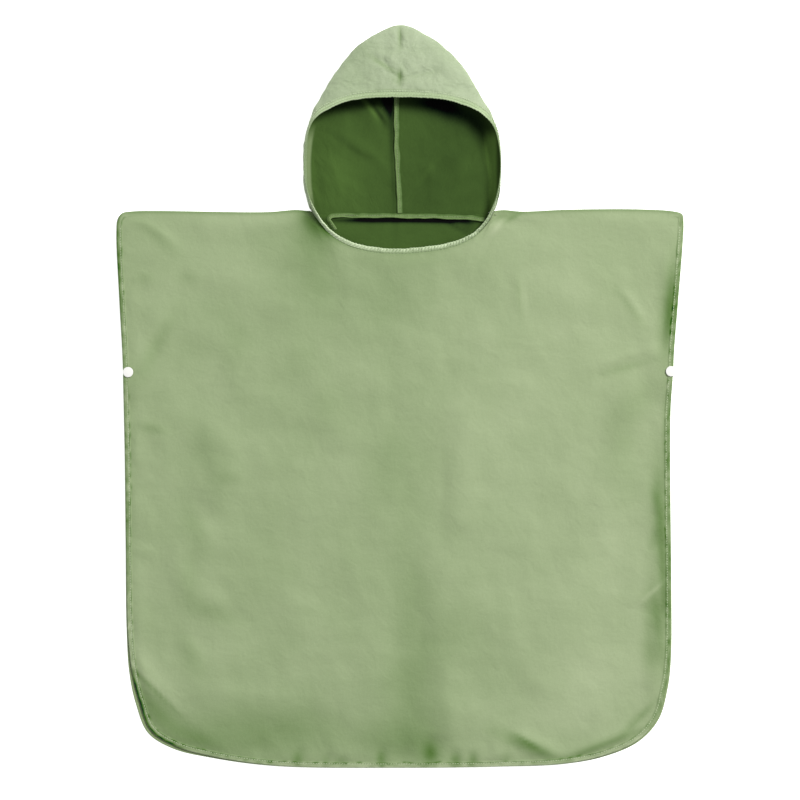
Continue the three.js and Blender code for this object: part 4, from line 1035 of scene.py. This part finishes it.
        # The back's upper face, inside the hood, takes the lining's table of painted light and shade; the inside
        # share is the back's turned hem, and painted shade in the front's hollows
        lined = 0.66 + tone_share(LINING_PAINTED_LIGHT_SHADE, xy) if rear else tone
        turned = (smoothstep(HEM_WIDTH + 0.3, HEM_WIDTH - 0.3, distance) * edge.hem if rear
                  else np.maximum(0, tone_share(HOLLOW_PAINTED_SHADE, xy)))
        patch = wall_patch(upper, under, xy * MM, {"tone": lined, "inside": turned},
                           {"tone": tone, "inside": 0 * tone})
        if rear:
            patch.finishes = np.where(patch.finishes == 1, 0, 1)
            count = len(grid_faces(2 * m + 1, 2 * m + 1))
            patch.finishes[2 * count:] = 0
        return patch

    def stitch_path(self, low: float, high: float, under: bool = False) -> tuple[Array, Array]:
        """Line of the hem's stitches on the top or the underside of the cloth.

        Args:
            low: first place along the edge.
            high: last place along the edge.
            under: whether the line runs on the underside.

        Returns:
            Points and upward directions.
        """
        line = lambda at: self.edge_at(at).inwards(np.full(at.shape, self.stitch_line))
        at = even_places(line, low, high, 1.0)
        distance = np.full(at.shape, self.stitch_line)
        edge = self.edge_at(at)
        xy = edge.inwards(distance)
        base, top = self.heights(xy, distance, edge)
        z = base + 0.14 if under else top
        up = np.tile([0.0, 0.0, -1.0 if under else 1.0], (len(at), 1))
        return np.column_stack([xy, z]), up


@dataclass
class HoodHalf:
    """One half of the hood: crown, side turn and rear layer in one piece of cloth.

    A section starts under the binding, rises over the crown as a cubic Bezier curve to the fold, turns
    under along a quarter of an ellipse, and runs straight along the floor to its seam.
    """

    side: Side
    rim: OpeningRim
    rows_per_section: int = 11
    upper_cells: int = 52
    turn_cells: int = 16
    floor_cells: int = 34
    under_binding: float = 1.6
    corner_ease: float = 0.6

    @staticmethod
    def mirrored(rows: Array) -> Array:
        """Rows with one more past the middle seam, the last but one mirrored, so that curves cross it level."""
        flip = np.ones(rows.shape[1])
        flip[0] = -1 if rows.shape[1] > 1 else 1
        return np.vstack([rows, rows[-2] * flip])

    def grid(self) -> tuple[Array, Array, Array]:
        """Outer points, 1 on the crown falling to 0 on the rear layer, and 1 on rows at the neck's corner."""
        table = HOOD_SECTIONS[self.side]
        last = len(table) - 1
        at = np.linspace(0, last, last * self.rows_per_section + 1)
        frames = self.rim.frames(self.rim.place_of(self.side, at))
        ease = self.corner_ease * (1 - smoothstep(0, 3, at))
        reach = (BINDING_WIDTH - self.under_binding + ease)[:, None]
        start = frames["edge"] + frames["into"] * reach
        fold_rows = self.mirrored(table["fold_x fold_y fold_z"])
        fold = curve_through(fold_rows, at)
        rows = np.arange(len(table))
        end = np.stack([np.interp(at, rows, table[k]) for k in ("end_x", "end_y", "end_z")], -1)
        end[:, 1] -= SEAM_TUCK * smoothstep(2, 4, at) * smoothstep(8, 6, at)
        turn, up, flare = (
            np.maximum(0, curve_through(self.mirrored(table[k][:, None]), at)) for k in ("turn", "up", "flare")
        )
        near = lambda places: curve_through(fold_rows[:, :2], np.maximum(places, 0))
        along = near(at + 0.1) - near(at - 0.1)
        outward = unit(np.stack([along[:, 1], -along[:, 0], np.zeros(len(at))], -1)) * self.side.value
        stub = 1 - smoothstep(2, 3.5, at)
        turn = np.maximum(turn, 0.6 * stub[:, None])
        end = end - outward * 1.4 * stub[:, None]
        end[:, 2] -= 1.7 * stub
        t = (1 - (1 - np.linspace(0, 1, self.upper_cells + 1)) ** 1.5)[None, :, None]
        p0, p3 = start[:, None], fold[:, None]
        p1 = (start + frames["into"] * flare)[:, None]
        p2 = (fold + np.array([0, 0, 1.0]) * up)[:, None]
        upper = (1 - t) ** 3 * p0 + 3 * t * (1 - t) ** 2 * p1 + 3 * t * t * (1 - t) * p2 + t ** 3 * p3
        angle = np.linspace(0, math.pi / 2, self.turn_cells + 1)[None, 1:, None]
        round_under = fold[:, None] + outward[:, None] * turn[:, None] * (np.cos(angle) - 1)
        round_under[..., 2] = (fold[:, None, 2] + (end[:, None, 2] - fold[:, None, 2]) * np.sin(angle[..., 0]))
        under = round_under[:, -1:]
        share = np.linspace(0, 1, self.floor_cells + 1)[None, 1:, None]
        floor = under + (end[:, None] - under) * share
        points = np.concatenate([upper, round_under, floor], axis=1)
        crown = np.concatenate([
            np.ones(self.upper_cells + 1), 1 - np.linspace(0, 1, self.turn_cells), np.zeros(self.floor_cells),
        ])
        points[-1, :, 0] = 0
        return points, np.broadcast_to(crown, points.shape[:2]), stub

    def patch(self) -> Patch:
        """The hood half as a closed wall with its creases."""
        base, crown, stub = self.grid()
        normals = grid_normals(base)
        if normals[len(normals) // 2, -3, 2] > 0:
            normals = -normals
        normals[-1, :, 0] = 0
        normals = unit(normals)
        xy = base[..., :2]
        from_rim = np.linalg.norm(base - base[:, :1], axis=-1)
        steps = np.linalg.norm(np.diff(base[:, 0], axis=0), axis=-1)
        at_rim = np.broadcast_to(np.concatenate([[0], np.cumsum(steps)])[:, None], from_rim.shape)
        free = smoothstep(0, 6, from_rim)
        beyond = np.maximum(from_rim - HEM_WIDTH, 0)
        gathers = pucker_height(at_rim, beyond, at_rim[-1, 0] + 60, 33, (5.0, 14.0))
        gathers = gathers * smoothstep(3, 8, from_rim) * smoothstep(0, 12, abs(xy[..., 0]))
        hump = (1.15 * crease_height(CROWN_CREASES, xy) + 0.45 * ripple(xy, 34, 31) + 0.22 * ripple(xy, 15, 32)
                + 0.45 * gathers)
        seam = np.linalg.norm(base - base[:, -1:], axis=-1)
        held = smoothstep(0, 8, seam)
        outer = base + normals * (hump * smoothstep(0.6, 1.0, crown) * free * held)[..., None]
        lift = crease_height(HOOD_FLOOR_CREASES, xy) + 0.35 + 0.4 * ripple(xy, 42, 34) + 0.16 * ripple(xy, 17, 35)
        lift = np.maximum(0, lift) * smoothstep(0.4, 0.0, crown) * held
        outer[..., 2] = np.maximum(0, outer[..., 2]) + lift
        outer[-1, :, 0] = 0
        inner = outer - normals * SHELL * (1 - 0.7 * stub)[:, None, None]
        inner[-1, :, 0] = 0
        seam_rows = np.nonzero(abs(base[:, -1, 0]) < 10)[0]
        inner[seam_rows, -1, 0] = outer[seam_rows, -1, 0]
        inner[..., 2] = np.maximum(SHELL * 0.9, inner[..., 2])
        run = np.concatenate([np.zeros((len(outer), 1)),
                              np.cumsum(np.linalg.norm(np.diff(outer, axis=1), axis=-1), axis=1)], axis=1)
        uv = np.stack([at_rim, run], -1) * MM
        # The crown's tone is set lighter than the front's as painted light where it tilts towards the light, with its
        # table of painted light and shade
        tone = 0.72 + tone_share(CROWN_PAINTED_LIGHT_SHADE, xy) * smoothstep(0.6, 1.0, crown)
        # Painted shade on the crown just past the binding's edge, deepest at the middle
        sewn = 0.12 + 0.2 * np.exp(-(xy[..., 0] / 36) ** 2)
        tone = tone - sewn * np.exp(-((from_rim - 2.0) / 1.5) ** 2) * crown
        # Painted light lightens the inner face of the right wall; the lining also takes its table of painted light
        # and shade
        along = smoothstep(214, 230, xy[..., 1]) * smoothstep(324, 304, xy[..., 1])
        start = 99 + 6 * smoothstep(300, 255, xy[..., 1])
        wall = 1.4 * along * smoothstep(start, start + 7, xy[..., 0]) * smoothstep(119, 114, xy[..., 0])
        lining = {"tone": 0.66 + tone_share(LINING_PAINTED_LIGHT_SHADE, xy) + wall, "inside": self.facing(base)}
        # Painted shade: just below the rim, the steep right wall takes the lining's dark colour
        along = smoothstep(222, 240, xy[..., 1]) * smoothstep(334, 316, xy[..., 1])
        rim_wall_painted_shade = 0.9 * along * smoothstep(113.5, 116.5, xy[..., 0]) * smoothstep(13, 6, from_rim)
        return wall_patch(outer, inner, uv, {"tone": tone, "inside": rim_wall_painted_shade}, lining)

    def facing(self, base: Array) -> Array:
        """Share of the outer colour on the inner side: a lit strip of the hem turned in on the left wall, painted
        light there only.
        """
        if self.side is Side.RIGHT:
            return np.zeros(base.shape[:2])
        inwards = base[..., 0] - base[:, :1, 0]
        along = smoothstep(224, 246, base[:, :1, 1]) * smoothstep(334, 306, base[:, :1, 1])
        return 0.6 * smoothstep(7.5, 4.5, inwards) * along * smoothstep(60, 40, base[..., 0] + 115)


@dataclass
class OpeningBinding:
    """Strip folded over the edge of the opening, twisted a little between its stitches like a rope."""

    rim: OpeningRim
    step: float = 0.55
    top_points: int = 17
    bottom_points: int = 6
    twist: float = 3.8

    def places(self) -> Array:
        """Evenly spaced places round the whole opening."""
        return even_places(self.rim.points, 0, self.rim.count, self.step)[:-1]

    def section(self) -> Array:
        """Outline of the folded strip: reach into the cloth and height, over the top and back beneath."""
        there = np.linspace(0, BINDING_WIDTH, self.top_points)
        back = np.linspace(BINDING_WIDTH, 0, self.bottom_points + 2)[1:-1]
        reach = np.concatenate([there, back])
        side = np.concatenate([np.ones(len(there)), -np.ones(len(back))])
        rounding = abs(1 - 2 * reach / BINDING_WIDTH) ** (1 / 0.55)
        height = BINDING_THICKNESS / 2 * np.sqrt(np.maximum(0, 1 - rounding ** 2)) ** 0.8
        return np.stack([reach, side * height], -1)

    def look(self, at: Array) -> Array:
        """Thickness share, lip's tone of painted light and shade, share of the lining's colour as painted shade,
        lip's width and rope share round the ring.
        """
        rows = BINDING_LOOK.values
        return np.stack([np.interp(at, rows[:, 0], column, period=self.rim.count) for column in rows.T[1:]], -1)

    def patch(self) -> Patch:
        """Closed ring of sections with twist, puckers and a stitch groove."""
        at = self.places()
        frames = self.rim.frames(at)
        edge = frames["edge"]
        step = np.linalg.norm(np.diff(edge, axis=0, append=edge[:1]), axis=1)
        run = np.concatenate([[0], np.cumsum(step)[:-1]])
        turns = round(step.sum() / self.twist)
        phase = 2 * math.pi * turns * run / step.sum()
        # shade is the lip's tone, a painted highlight where high and painted shade where low; inside is painted shade
        # as the lining's dark colour
        thick, shade, inside, width, rope = (column[:, None] for column in self.look(at).T)
        section = self.section()
        reach, height = section[None, :, 0], section[None, :, 1]
        line = np.stack([run, run * 0], -1)
        slow, quick = ripple(line, 23, 41)[:, None], ripple(line, 7, 42)[:, None]
        wave = 0.75 * np.sin(phase[:, None] + reach * 0.9 + 1.2 * slow) + 0.45 * quick
        top = height > 0
        swell = thick * (1 + (0.12 + 0.3 * rope) * wave * top + 0.12 * slow)
        groove = 0.3 * np.exp(-((reach - 3.9) / 0.6) ** 2) * np.sign(height)
        tall = height * swell - groove * thick
        wide = reach + 0.35 * wave * (reach < 2) + 0.25 * slow * (reach < 4)
        middle = -CLOTH / 2 + 0.25
        points = (edge[:, None] + frames["into"][:, None] * wide[..., None]
                  + frames["face"][:, None] * (tall + middle)[..., None])
        rows, columns = points.shape[:2]
        closed = np.vstack([grid_faces(rows, columns, closed=True), self._seam(rows, columns)])
        flank = np.broadcast_to(reach + 8 * (height < 0), (rows, columns))
        uv = np.stack([np.broadcast_to(run[:, None], (rows, columns)), flank], -1) * MM
        # Painted highlight on the lip, painted light and dark strokes of the rope-like twist, and a painted shade
        # line just past the lip
        lip = smoothstep(0.6, -0.6, reach - width - 0.3 * slow)
        fold = np.exp(-((reach - width - 0.7) / 0.6) ** 2)
        tone = 0.52 + (shade - 0.52) * lip + 0.42 * rope * wave * lip * top - 0.25 * fold
        full = lambda grid: np.broadcast_to(grid, (rows, columns)).ravel()
        return Patch(points.reshape(-1, 3), closed, np.zeros(len(closed), int), uv.reshape(-1, 2),
                     {"tone": full(tone), "inside": full(inside)})

    def _seam(self, rows: int, columns: int) -> Array:
        """Faces that join the last section to the first."""
        j = np.arange(columns)
        k = (j + 1) % columns
        base = (rows - 1) * columns
        return np.stack([base + j, j, k, base + k], -1)

    def stitch_path(self, reach: float, low: float, high: float, lift: float) -> tuple[Array, Array]:
        """Line of stitches along the strip, at a reach from the free edge.

        Args:
            reach: distance in from the free edge.
            low: first place on the ring.
            high: last place on the ring.
            lift: height over the cloth's outer face.

        Returns:
            Points and upward directions.
        """
        at = even_places(self.rim.points, low, high, 0.8)
        frames = self.rim.frames(at)
        return frames["edge"] + frames["into"] * reach + frames["face"] * lift, frames["face"]


@dataclass
class SeamTape:
    """Bound seam allowance that lies on the inside along a middle line and stands off it on one side."""

    line: Table
    raised: int
    thickness: float = 1.0
    width: float = 5.2
    lift: float = 1.5
    across_cells: int = 12
    step: float = 1.0

    def tilt(self, share: Array) -> Array:
        """Height over the cloth across the width, 0 on the sewn side and full on the raised side."""
        return self.lift * smoothstep(-0.5, 0.4, share * self.raised)

    def patch(self) -> Patch:
        """Closed strip with a rolled raised side, uneven along its length."""
        last = len(self.line) - 1
        curve = lambda at: curve_through(self.line["x y"], at)
        at = even_places(curve, 0, last, self.step)
        middle = curve(at)
        along = unit(curve(np.minimum(at + 0.05, last)) - curve(np.maximum(at - 0.05, 0)))
        across = np.stack([-along[:, 1], along[:, 0]], -1)
        share = np.linspace(-0.5, 0.5, self.across_cells + 1)
        wander = 0.35 * ripple(middle, 31, 51)[:, None]
        width = self.width * (0.95 + 0.08 * ripple(middle, 22, 52))[:, None]
        xy = middle[:, None] + across[:, None] * (share * width + wander)[..., None]
        crown = np.sqrt(np.maximum(0, 1 - (2 * share) ** 2)) ** 0.5
        uneven = 0.85 + 0.35 * ripple(middle, 26, 53)[:, None]
        low = SHELL + 0.05 + self.tilt(share) * uneven
        top = low + 0.15 + self.thickness * crown + 0.12 * ripple(xy, 8, 54)
        upper = np.concatenate([xy, np.maximum(top, low + 0.1)[..., None]], -1)
        under = np.concatenate([xy, low[..., None]], -1)
        # Painted highlight along the raised rolled side and painted shade towards the sewn side, with uneven flecks
        rolled = np.exp(-((share * self.raised - 0.34) / 0.12) ** 2)
        tone = 0.5 + 0.35 * rolled - 0.25 * smoothstep(0.1, -0.5, share * self.raised)
        tones = np.broadcast_to(tone, xy.shape[:2]) + 0.08 * ripple(xy, 11, 55)
        patch = wall_patch(upper[:, ::-1], under[:, ::-1], xy[:, ::-1] * MM,
                           {"tone": tones[:, ::-1], "inside": 0 * tones})
        patch.finishes[:] = 0
        return patch

    def stitch_path(self) -> tuple[Array, Array]:
        """Line of stitches down the middle of the strip."""
        last = len(self.line) - 1
        curve = lambda at: curve_through(self.line["x y"], at)
        at = even_places(curve, 0.05, last - 0.05, 0.8)
        xy = curve(at)
        z = np.full(len(at), SHELL + 0.2 + self.thickness + self.tilt(np.zeros(1))[0] * 0.85)
        return np.column_stack([xy, z]), np.tile([0.0, 0.0, 1.0], (len(at), 1))


@dataclass
class StitchRow:
    """Row of sewn stitches: short arched rods of thread whose ends dip into the cloth."""

    points: Array
    up: Array
    pitch: float = STITCH_PITCH
    fill: float = 0.8
    radius: float = 0.3
    sides: int = 6
    seed: int = 3

    def patch(self) -> Patch:
        """All the stitches of the row as one patch.

        A stitch is four rings of points. Its middle stands over the cloth by an arch, and its end
        rings are drawn in to a narrow tip.
        """
        step = np.linalg.norm(np.diff(self.points, axis=0), axis=1)
        run = np.concatenate([[0], np.cumsum(step)])
        count = int(run[-1] / self.pitch)
        rng = np.random.default_rng(self.seed)
        starts = np.arange(count) * self.pitch + rng.normal(0, 0.06, count) * self.pitch
        along = np.array([0.0, 0.18, 0.82, 1.0])
        swell = np.array([0.45, 1.0, 1.0, 0.45])
        arch = np.array([-0.75, 0.55, 0.55, -0.75]) * self.radius
        at = starts[:, None] + along * self.pitch * self.fill
        spot = np.stack([np.interp(at, run, self.points[:, k]) for k in range(3)], -1)
        face = unit(np.stack([np.interp(at, run, self.up[:, k]) for k in range(3)], -1))
        ahead = unit(spot[:, -1:] - spot[:, :1]) * np.ones((1, 4, 1))
        cross = unit(np.cross(face, ahead))
        tilt = rng.normal(0, 0.10, count)[:, None, None] * self.pitch * (along - 0.5)[None, :, None]
        spot = spot + face * arch[None, :, None] + cross * tilt
        angle = np.linspace(0, 2 * math.pi, self.sides, endpoint=False)
        wide = self.radius * swell[None, :, None, None]
        ring = (spot[:, :, None] + cross[:, :, None] * np.cos(angle)[None, None, :, None] * wide
                + face[:, :, None] * np.sin(angle)[None, None, :, None] * wide)
        points = ring.reshape(-1, 3)
        one = grid_faces(4, self.sides, closed=True)
        caps = []
        for first in (0, 3 * self.sides):
            loop = np.arange(self.sides) + first
            loop = loop if first == 0 else loop[::-1]
            caps += [[loop[0], loop[1], loop[2], loop[3]], [loop[0], loop[3], loop[4], loop[5]]]
        one = np.vstack([one, caps])
        size = 4 * self.sides
        faces = (one[None] + (np.arange(count) * size)[:, None, None]).reshape(-1, 4)
        return Patch(points, faces, np.zeros(len(faces), int), points[:, :2] * MM)


@dataclass
class Fastener:
    """Round cap of a press fastener: a shallow dome with a rounded rim."""

    x: float
    y: float
    base: float
    top: float
    radius: float = 6.2
    around: int = 72
    pin_radius: float = 1.2
    pin_to: float = 0.0
    face_up: bool = True

    def profile(self) -> Array:
        """Half outline from the face's middle over the rim to the back, as radius and height share."""
        dome = np.linspace(0, 1, 9)[:, None] * np.array([1, 0])
        face = np.column_stack([dome[:, 0] * (self.radius - 0.9), 1 - 0.16 * dome[:, 0] ** 2])
        angle = np.linspace(0.15, math.pi - 0.3, 9)
        rim = np.column_stack([
            self.radius - 0.75 + 0.75 * np.sin(angle),
            0.46 + 0.38 * np.cos(angle),
        ])
        back = np.array([[self.radius - 0.9, 0.02], [self.pin_radius + 0.2, 0.0], [self.pin_radius, -0.05]])
        return np.vstack([face, rim, back])

    def patch(self) -> Patch:
        """Closed turned solid with its pin."""
        profile = self.profile()
        thick = self.top - self.base
        z = self.base + profile[:, 1] * thick if self.face_up else self.top - profile[:, 1] * thick
        radius = profile[:, 0]
        radius = np.concatenate([radius, [self.pin_radius, 0.0]])
        z = np.concatenate([z, [self.pin_to, self.pin_to]])
        angle = np.linspace(0, 2 * math.pi, self.around, endpoint=False)
        rows = len(radius)
        points = np.stack([
            self.x + radius[:, None] * np.cos(angle),
            self.y + radius[:, None] * np.sin(angle),
            np.broadcast_to(z[:, None], (rows, self.around)),
        ], -1)
        faces = grid_faces(rows, self.around, closed=True)
        flat = points.reshape(-1, 3)
        return Patch(flat, faces, np.zeros(len(faces), int), flat[:, :2] * MM)


@dataclass
class Studio:
    """Pale floor, soft light from the upper right and a camera straight above."""

    view_width: float = 0.9617
    distance: float = 12.0
    aim: tuple[float, float] = (0.00006, -0.0050)
    sensor: float = 36.0

    def build(self, shift: Array) -> None:
        """Makes the floor, lights, sky and camera.

        Args:
            shift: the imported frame's shift from the cutter's axes.
        """
        scene = bpy.context.scene
        scene.view_settings.view_transform = "Standard"
        scene.view_settings.look = "None"
        bpy.ops.mesh.primitive_plane_add(size=60, location=(0, 0, -0.0004))
        floor = bpy.context.object
        floor.name = "floor"
        floor.data.materials.append(FloorFinish().material())
        world = bpy.data.worlds.new("studio_sky")
        world.use_nodes = True
        sky = world.node_tree.nodes["Background"]
        sky.inputs[0].default_value = (1.0, 1.0, 1.0, 1.0)
        sky.inputs[1].default_value = 0.34
        scene.world = world
        self.lamp("key_light", (3.4, 3.1, 5.4), 2.2, 540.0, (1.0, 0.985, 0.955))
        self.lamp("fill_light", (-3.4, 0.6, 3.8), 3.0, 24.0, (0.95, 0.98, 1.0))
        data = bpy.data.cameras.new("camera")
        data.sensor_width = self.sensor
        data.lens = self.sensor * self.distance / self.view_width
        data.clip_end = 100
        camera = bpy.data.objects.new("camera", data)
        camera.location = (self.aim[0] + shift[0], self.aim[1] + shift[1], self.distance)
        scene.collection.objects.link(camera)
        scene.camera = camera

    def lamp(self, name: str, place: tuple[float, float, float], size: float, power: float,
             colour: tuple[float, float, float]) -> None:
        """Adds a square soft light aimed at the garment's middle."""
        data = bpy.data.lights.new(name, "AREA")
        data.size = size
        data.energy = power
        data.color = colour
        lamp = bpy.data.objects.new(name, data)
        lamp.location = place
        lamp.rotation_mode = "QUATERNION"
        lamp.rotation_quaternion = (-Vector(place)).to_track_quat("-Z", "Y")
        bpy.context.scene.collection.objects.link(lamp)


@dataclass
class Poncho:
    """The whole garment: panels, hood, binding, tapes, stitches and fasteners."""

    workshop: Workshop
    outer: ClothFinish = ClothFinish("cloth_outside", (0.165, 0.245, 0.10), (0.35, 0.425, 0.25))
    # The hood is the body's cloth, given a paler, greyer colour as painted light and sheen on its tilted crown
    crown: ClothFinish = ClothFinish("cloth_hood", (0.165, 0.245, 0.10), (0.395, 0.462, 0.322), drift=0.17,
                                     crinkle_depth=0.0006, wrinkle_depth=0.0045)
    inner: ClothFinish = ClothFinish("cloth_inside", (0.008, 0.020, 0.004), (0.066, 0.128, 0.026),
                                     lining=(0.26, 0.34, 0.17), drift=0.10, sheen=0.0, specular=0.12,
                                     roughness=0.9, wrinkle_depth=0.0016)
    # The binding is the body's cloth; its pale end is there for the painted highlight on its lip
    edging: ClothFinish = ClothFinish("binding_cloth", (0.165, 0.245, 0.10), (0.49, 0.60, 0.38),
                                      wrinkle_depth=0.0006)
    taping: ClothFinish = ClothFinish("tape_cloth", (0.05, 0.105, 0.022), (0.18, 0.275, 0.10),
                                      wrinkle_depth=0.0006, sheen=0.0, specular=0.15)
    thread: ThreadFinish = ThreadFinish("sewing_thread", (0.50, 0.60, 0.38))
    dark_thread: ThreadFinish = ThreadFinish("inner_thread", (0.20, 0.27, 0.12))
    plastic: PlasticFinish = PlasticFinish("snap_plastic")

    def build(self) -> None:
        """Builds every piece, rides it on the body, hides the imported parts that it stands for and logs the panels'
        areas.
        """
        rim = OpeningRim()
        outer, crown, inner = (f.material() for f in (self.outer, self.crown, self.inner))
        edging, taping, thread, dark = (
            f.material() for f in (self.edging, self.taping, self.thread, self.dark_thread)
        )
        back = BodyPanel(Layer.BACK, rim)
        front = BodyPanel(Layer.FRONT, rim)
        made: dict[str, bpy.types.Object] = {}
        made["back"] = self.piece("poncho_back", back.patch(), [outer, inner], ["back_panel"])
        made["front"] = self.piece("poncho_front", front.patch(), [outer, inner], ["front_panel"])
        for side in Side:
            name = side.name.lower()
            half = HoodHalf(side, rim)
            made[name] = self.piece(f"hood_half_{name}", half.patch(), [crown, inner],
                                    [f"hood_{name}"])
        binding = OpeningBinding(rim)
        made["binding"] = self.piece("face_binding", binding.patch(), [edging], ["opening_binding"])
        neck, seam = SeamTape(NECK_TAPE_LINE, -1, lift=2.4, width=6.0), SeamTape(HOOD_TAPE_LINE, 1, width=6.6)
        made["neck_tape"] = self.piece("neck_tape", neck.patch(), [taping], ["neck_seam_tape"])
        made["hood_tape"] = self.piece("hood_tape", seam.patch(), [taping], ["hood_seam_tape"])
        made.update(self.stitches(front, back, binding, neck, seam, rim, thread, dark))
        self.fasteners()
        self.declare(made)

    def piece(self, name: str, patch: Patch, materials: Sequence[bpy.types.Material],
              nodes: Sequence[str], weld: bool = False) -> bpy.types.Object:
        """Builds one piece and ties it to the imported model.

        Args:
            name: the piece's name.
            patch: its mesh.
            materials: its materials.
            nodes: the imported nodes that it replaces.
            weld: whether coincident points are joined.

        Returns:
            The piece.
        """
        thing = self.workshop.build(name, patch, materials, weld)
        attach(thing, "root")
        if nodes:
            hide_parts(*nodes)
        return thing

    def stitches(self, front: BodyPanel, back: BodyPanel, binding: OpeningBinding, neck: SeamTape,
                 seam: SeamTape, rim: OpeningRim, thread: bpy.types.Material,
                 dark: bpy.types.Material) -> dict[str, bpy.types.Object]:
        """Sews the hems, the binding, the crown's second row and the tapes.

        Returns:
            The rows of stitches by name.
        """
        crown_low, crown_high = len(NECKLINE) + 5.0, rim.forehead + 10.0
        rows = {
            "front_hem_stitches": (front.stitch_path(0.02, 2.98), thread, 1),
            "back_hem_stitches": (back.stitch_path(0.02, 2.98, under=True), thread, 2),
            "binding_stitches": (binding.stitch_path(3.9, 0.0, rim.count - 0.01, 0.12), thread, 3),
            "crown_stitches": (binding.stitch_path(7.6, crown_low, crown_high, 0.1), thread, 4),
            "neck_tape_stitches": (neck.stitch_path(), dark, 5),
            "hood_tape_stitches": (seam.stitch_path(), dark, 6),
        }
        made = {}
        for name, ((points, up), material, seed) in rows.items():
            row = StitchRow(points, up, seed=seed, radius=0.45 if name == "crown_stitches" else 0.36)
            made[name] = self.piece(name, row.patch(), [material], [])
        return made

    def fasteners(self) -> None:
        """Builds the visible caps and dresses the hidden studs and sockets."""
        white = self.plastic.material()
        for place in ("left", "right"):
            for role, up in (("front_cap", True), ("back_cap", False)):
                low, high = (np.array(c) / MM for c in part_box(f"snap_{place}_{role}"))
                mid = (low + high) / 2 - self.workshop.shift / MM
                cap = 1.4
                base, top = (high[2] - cap, high[2]) if up else (low[2], low[2] + 1.0)
                turned = Fastener(mid[0], mid[1], base, top, pin_to=low[2] if up else high[2], face_up=up)
                self.piece(f"snap_{place}_{role}_disc", turned.patch(), [white],
                           [f"snap_{place}_{role}"], weld=True)
            for role in ("stud", "socket"):
                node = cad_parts[f"snap_{place}_{role}"]
                node.data.materials.clear()
                node.data.materials.append(white)

    def declare(self, made: dict[str, bpy.types.Object]) -> None:
        """Logs the area of each panel of cloth."""
        area = {name: self.area(made[name]) for name in ("back", "front", "left", "right")}
        LOG.info("areas %s", area)

    def area(self, thing: bpy.types.Object) -> float:
        """Half the surface of a closed sheet, in square metres."""
        areas = np.empty(len(thing.data.polygons))
        thing.data.polygons.foreach_get("area", areas)
        return float(areas.sum() / 2)


def main() -> None:
    """Builds the studio and the garment."""
    logging.basicConfig(level=logging.INFO, format="%(message)s")
    workshop = Workshop()
    Studio().build(workshop.shift)
    Poncho(workshop).build()


if __name__ == "__main__":
    main()
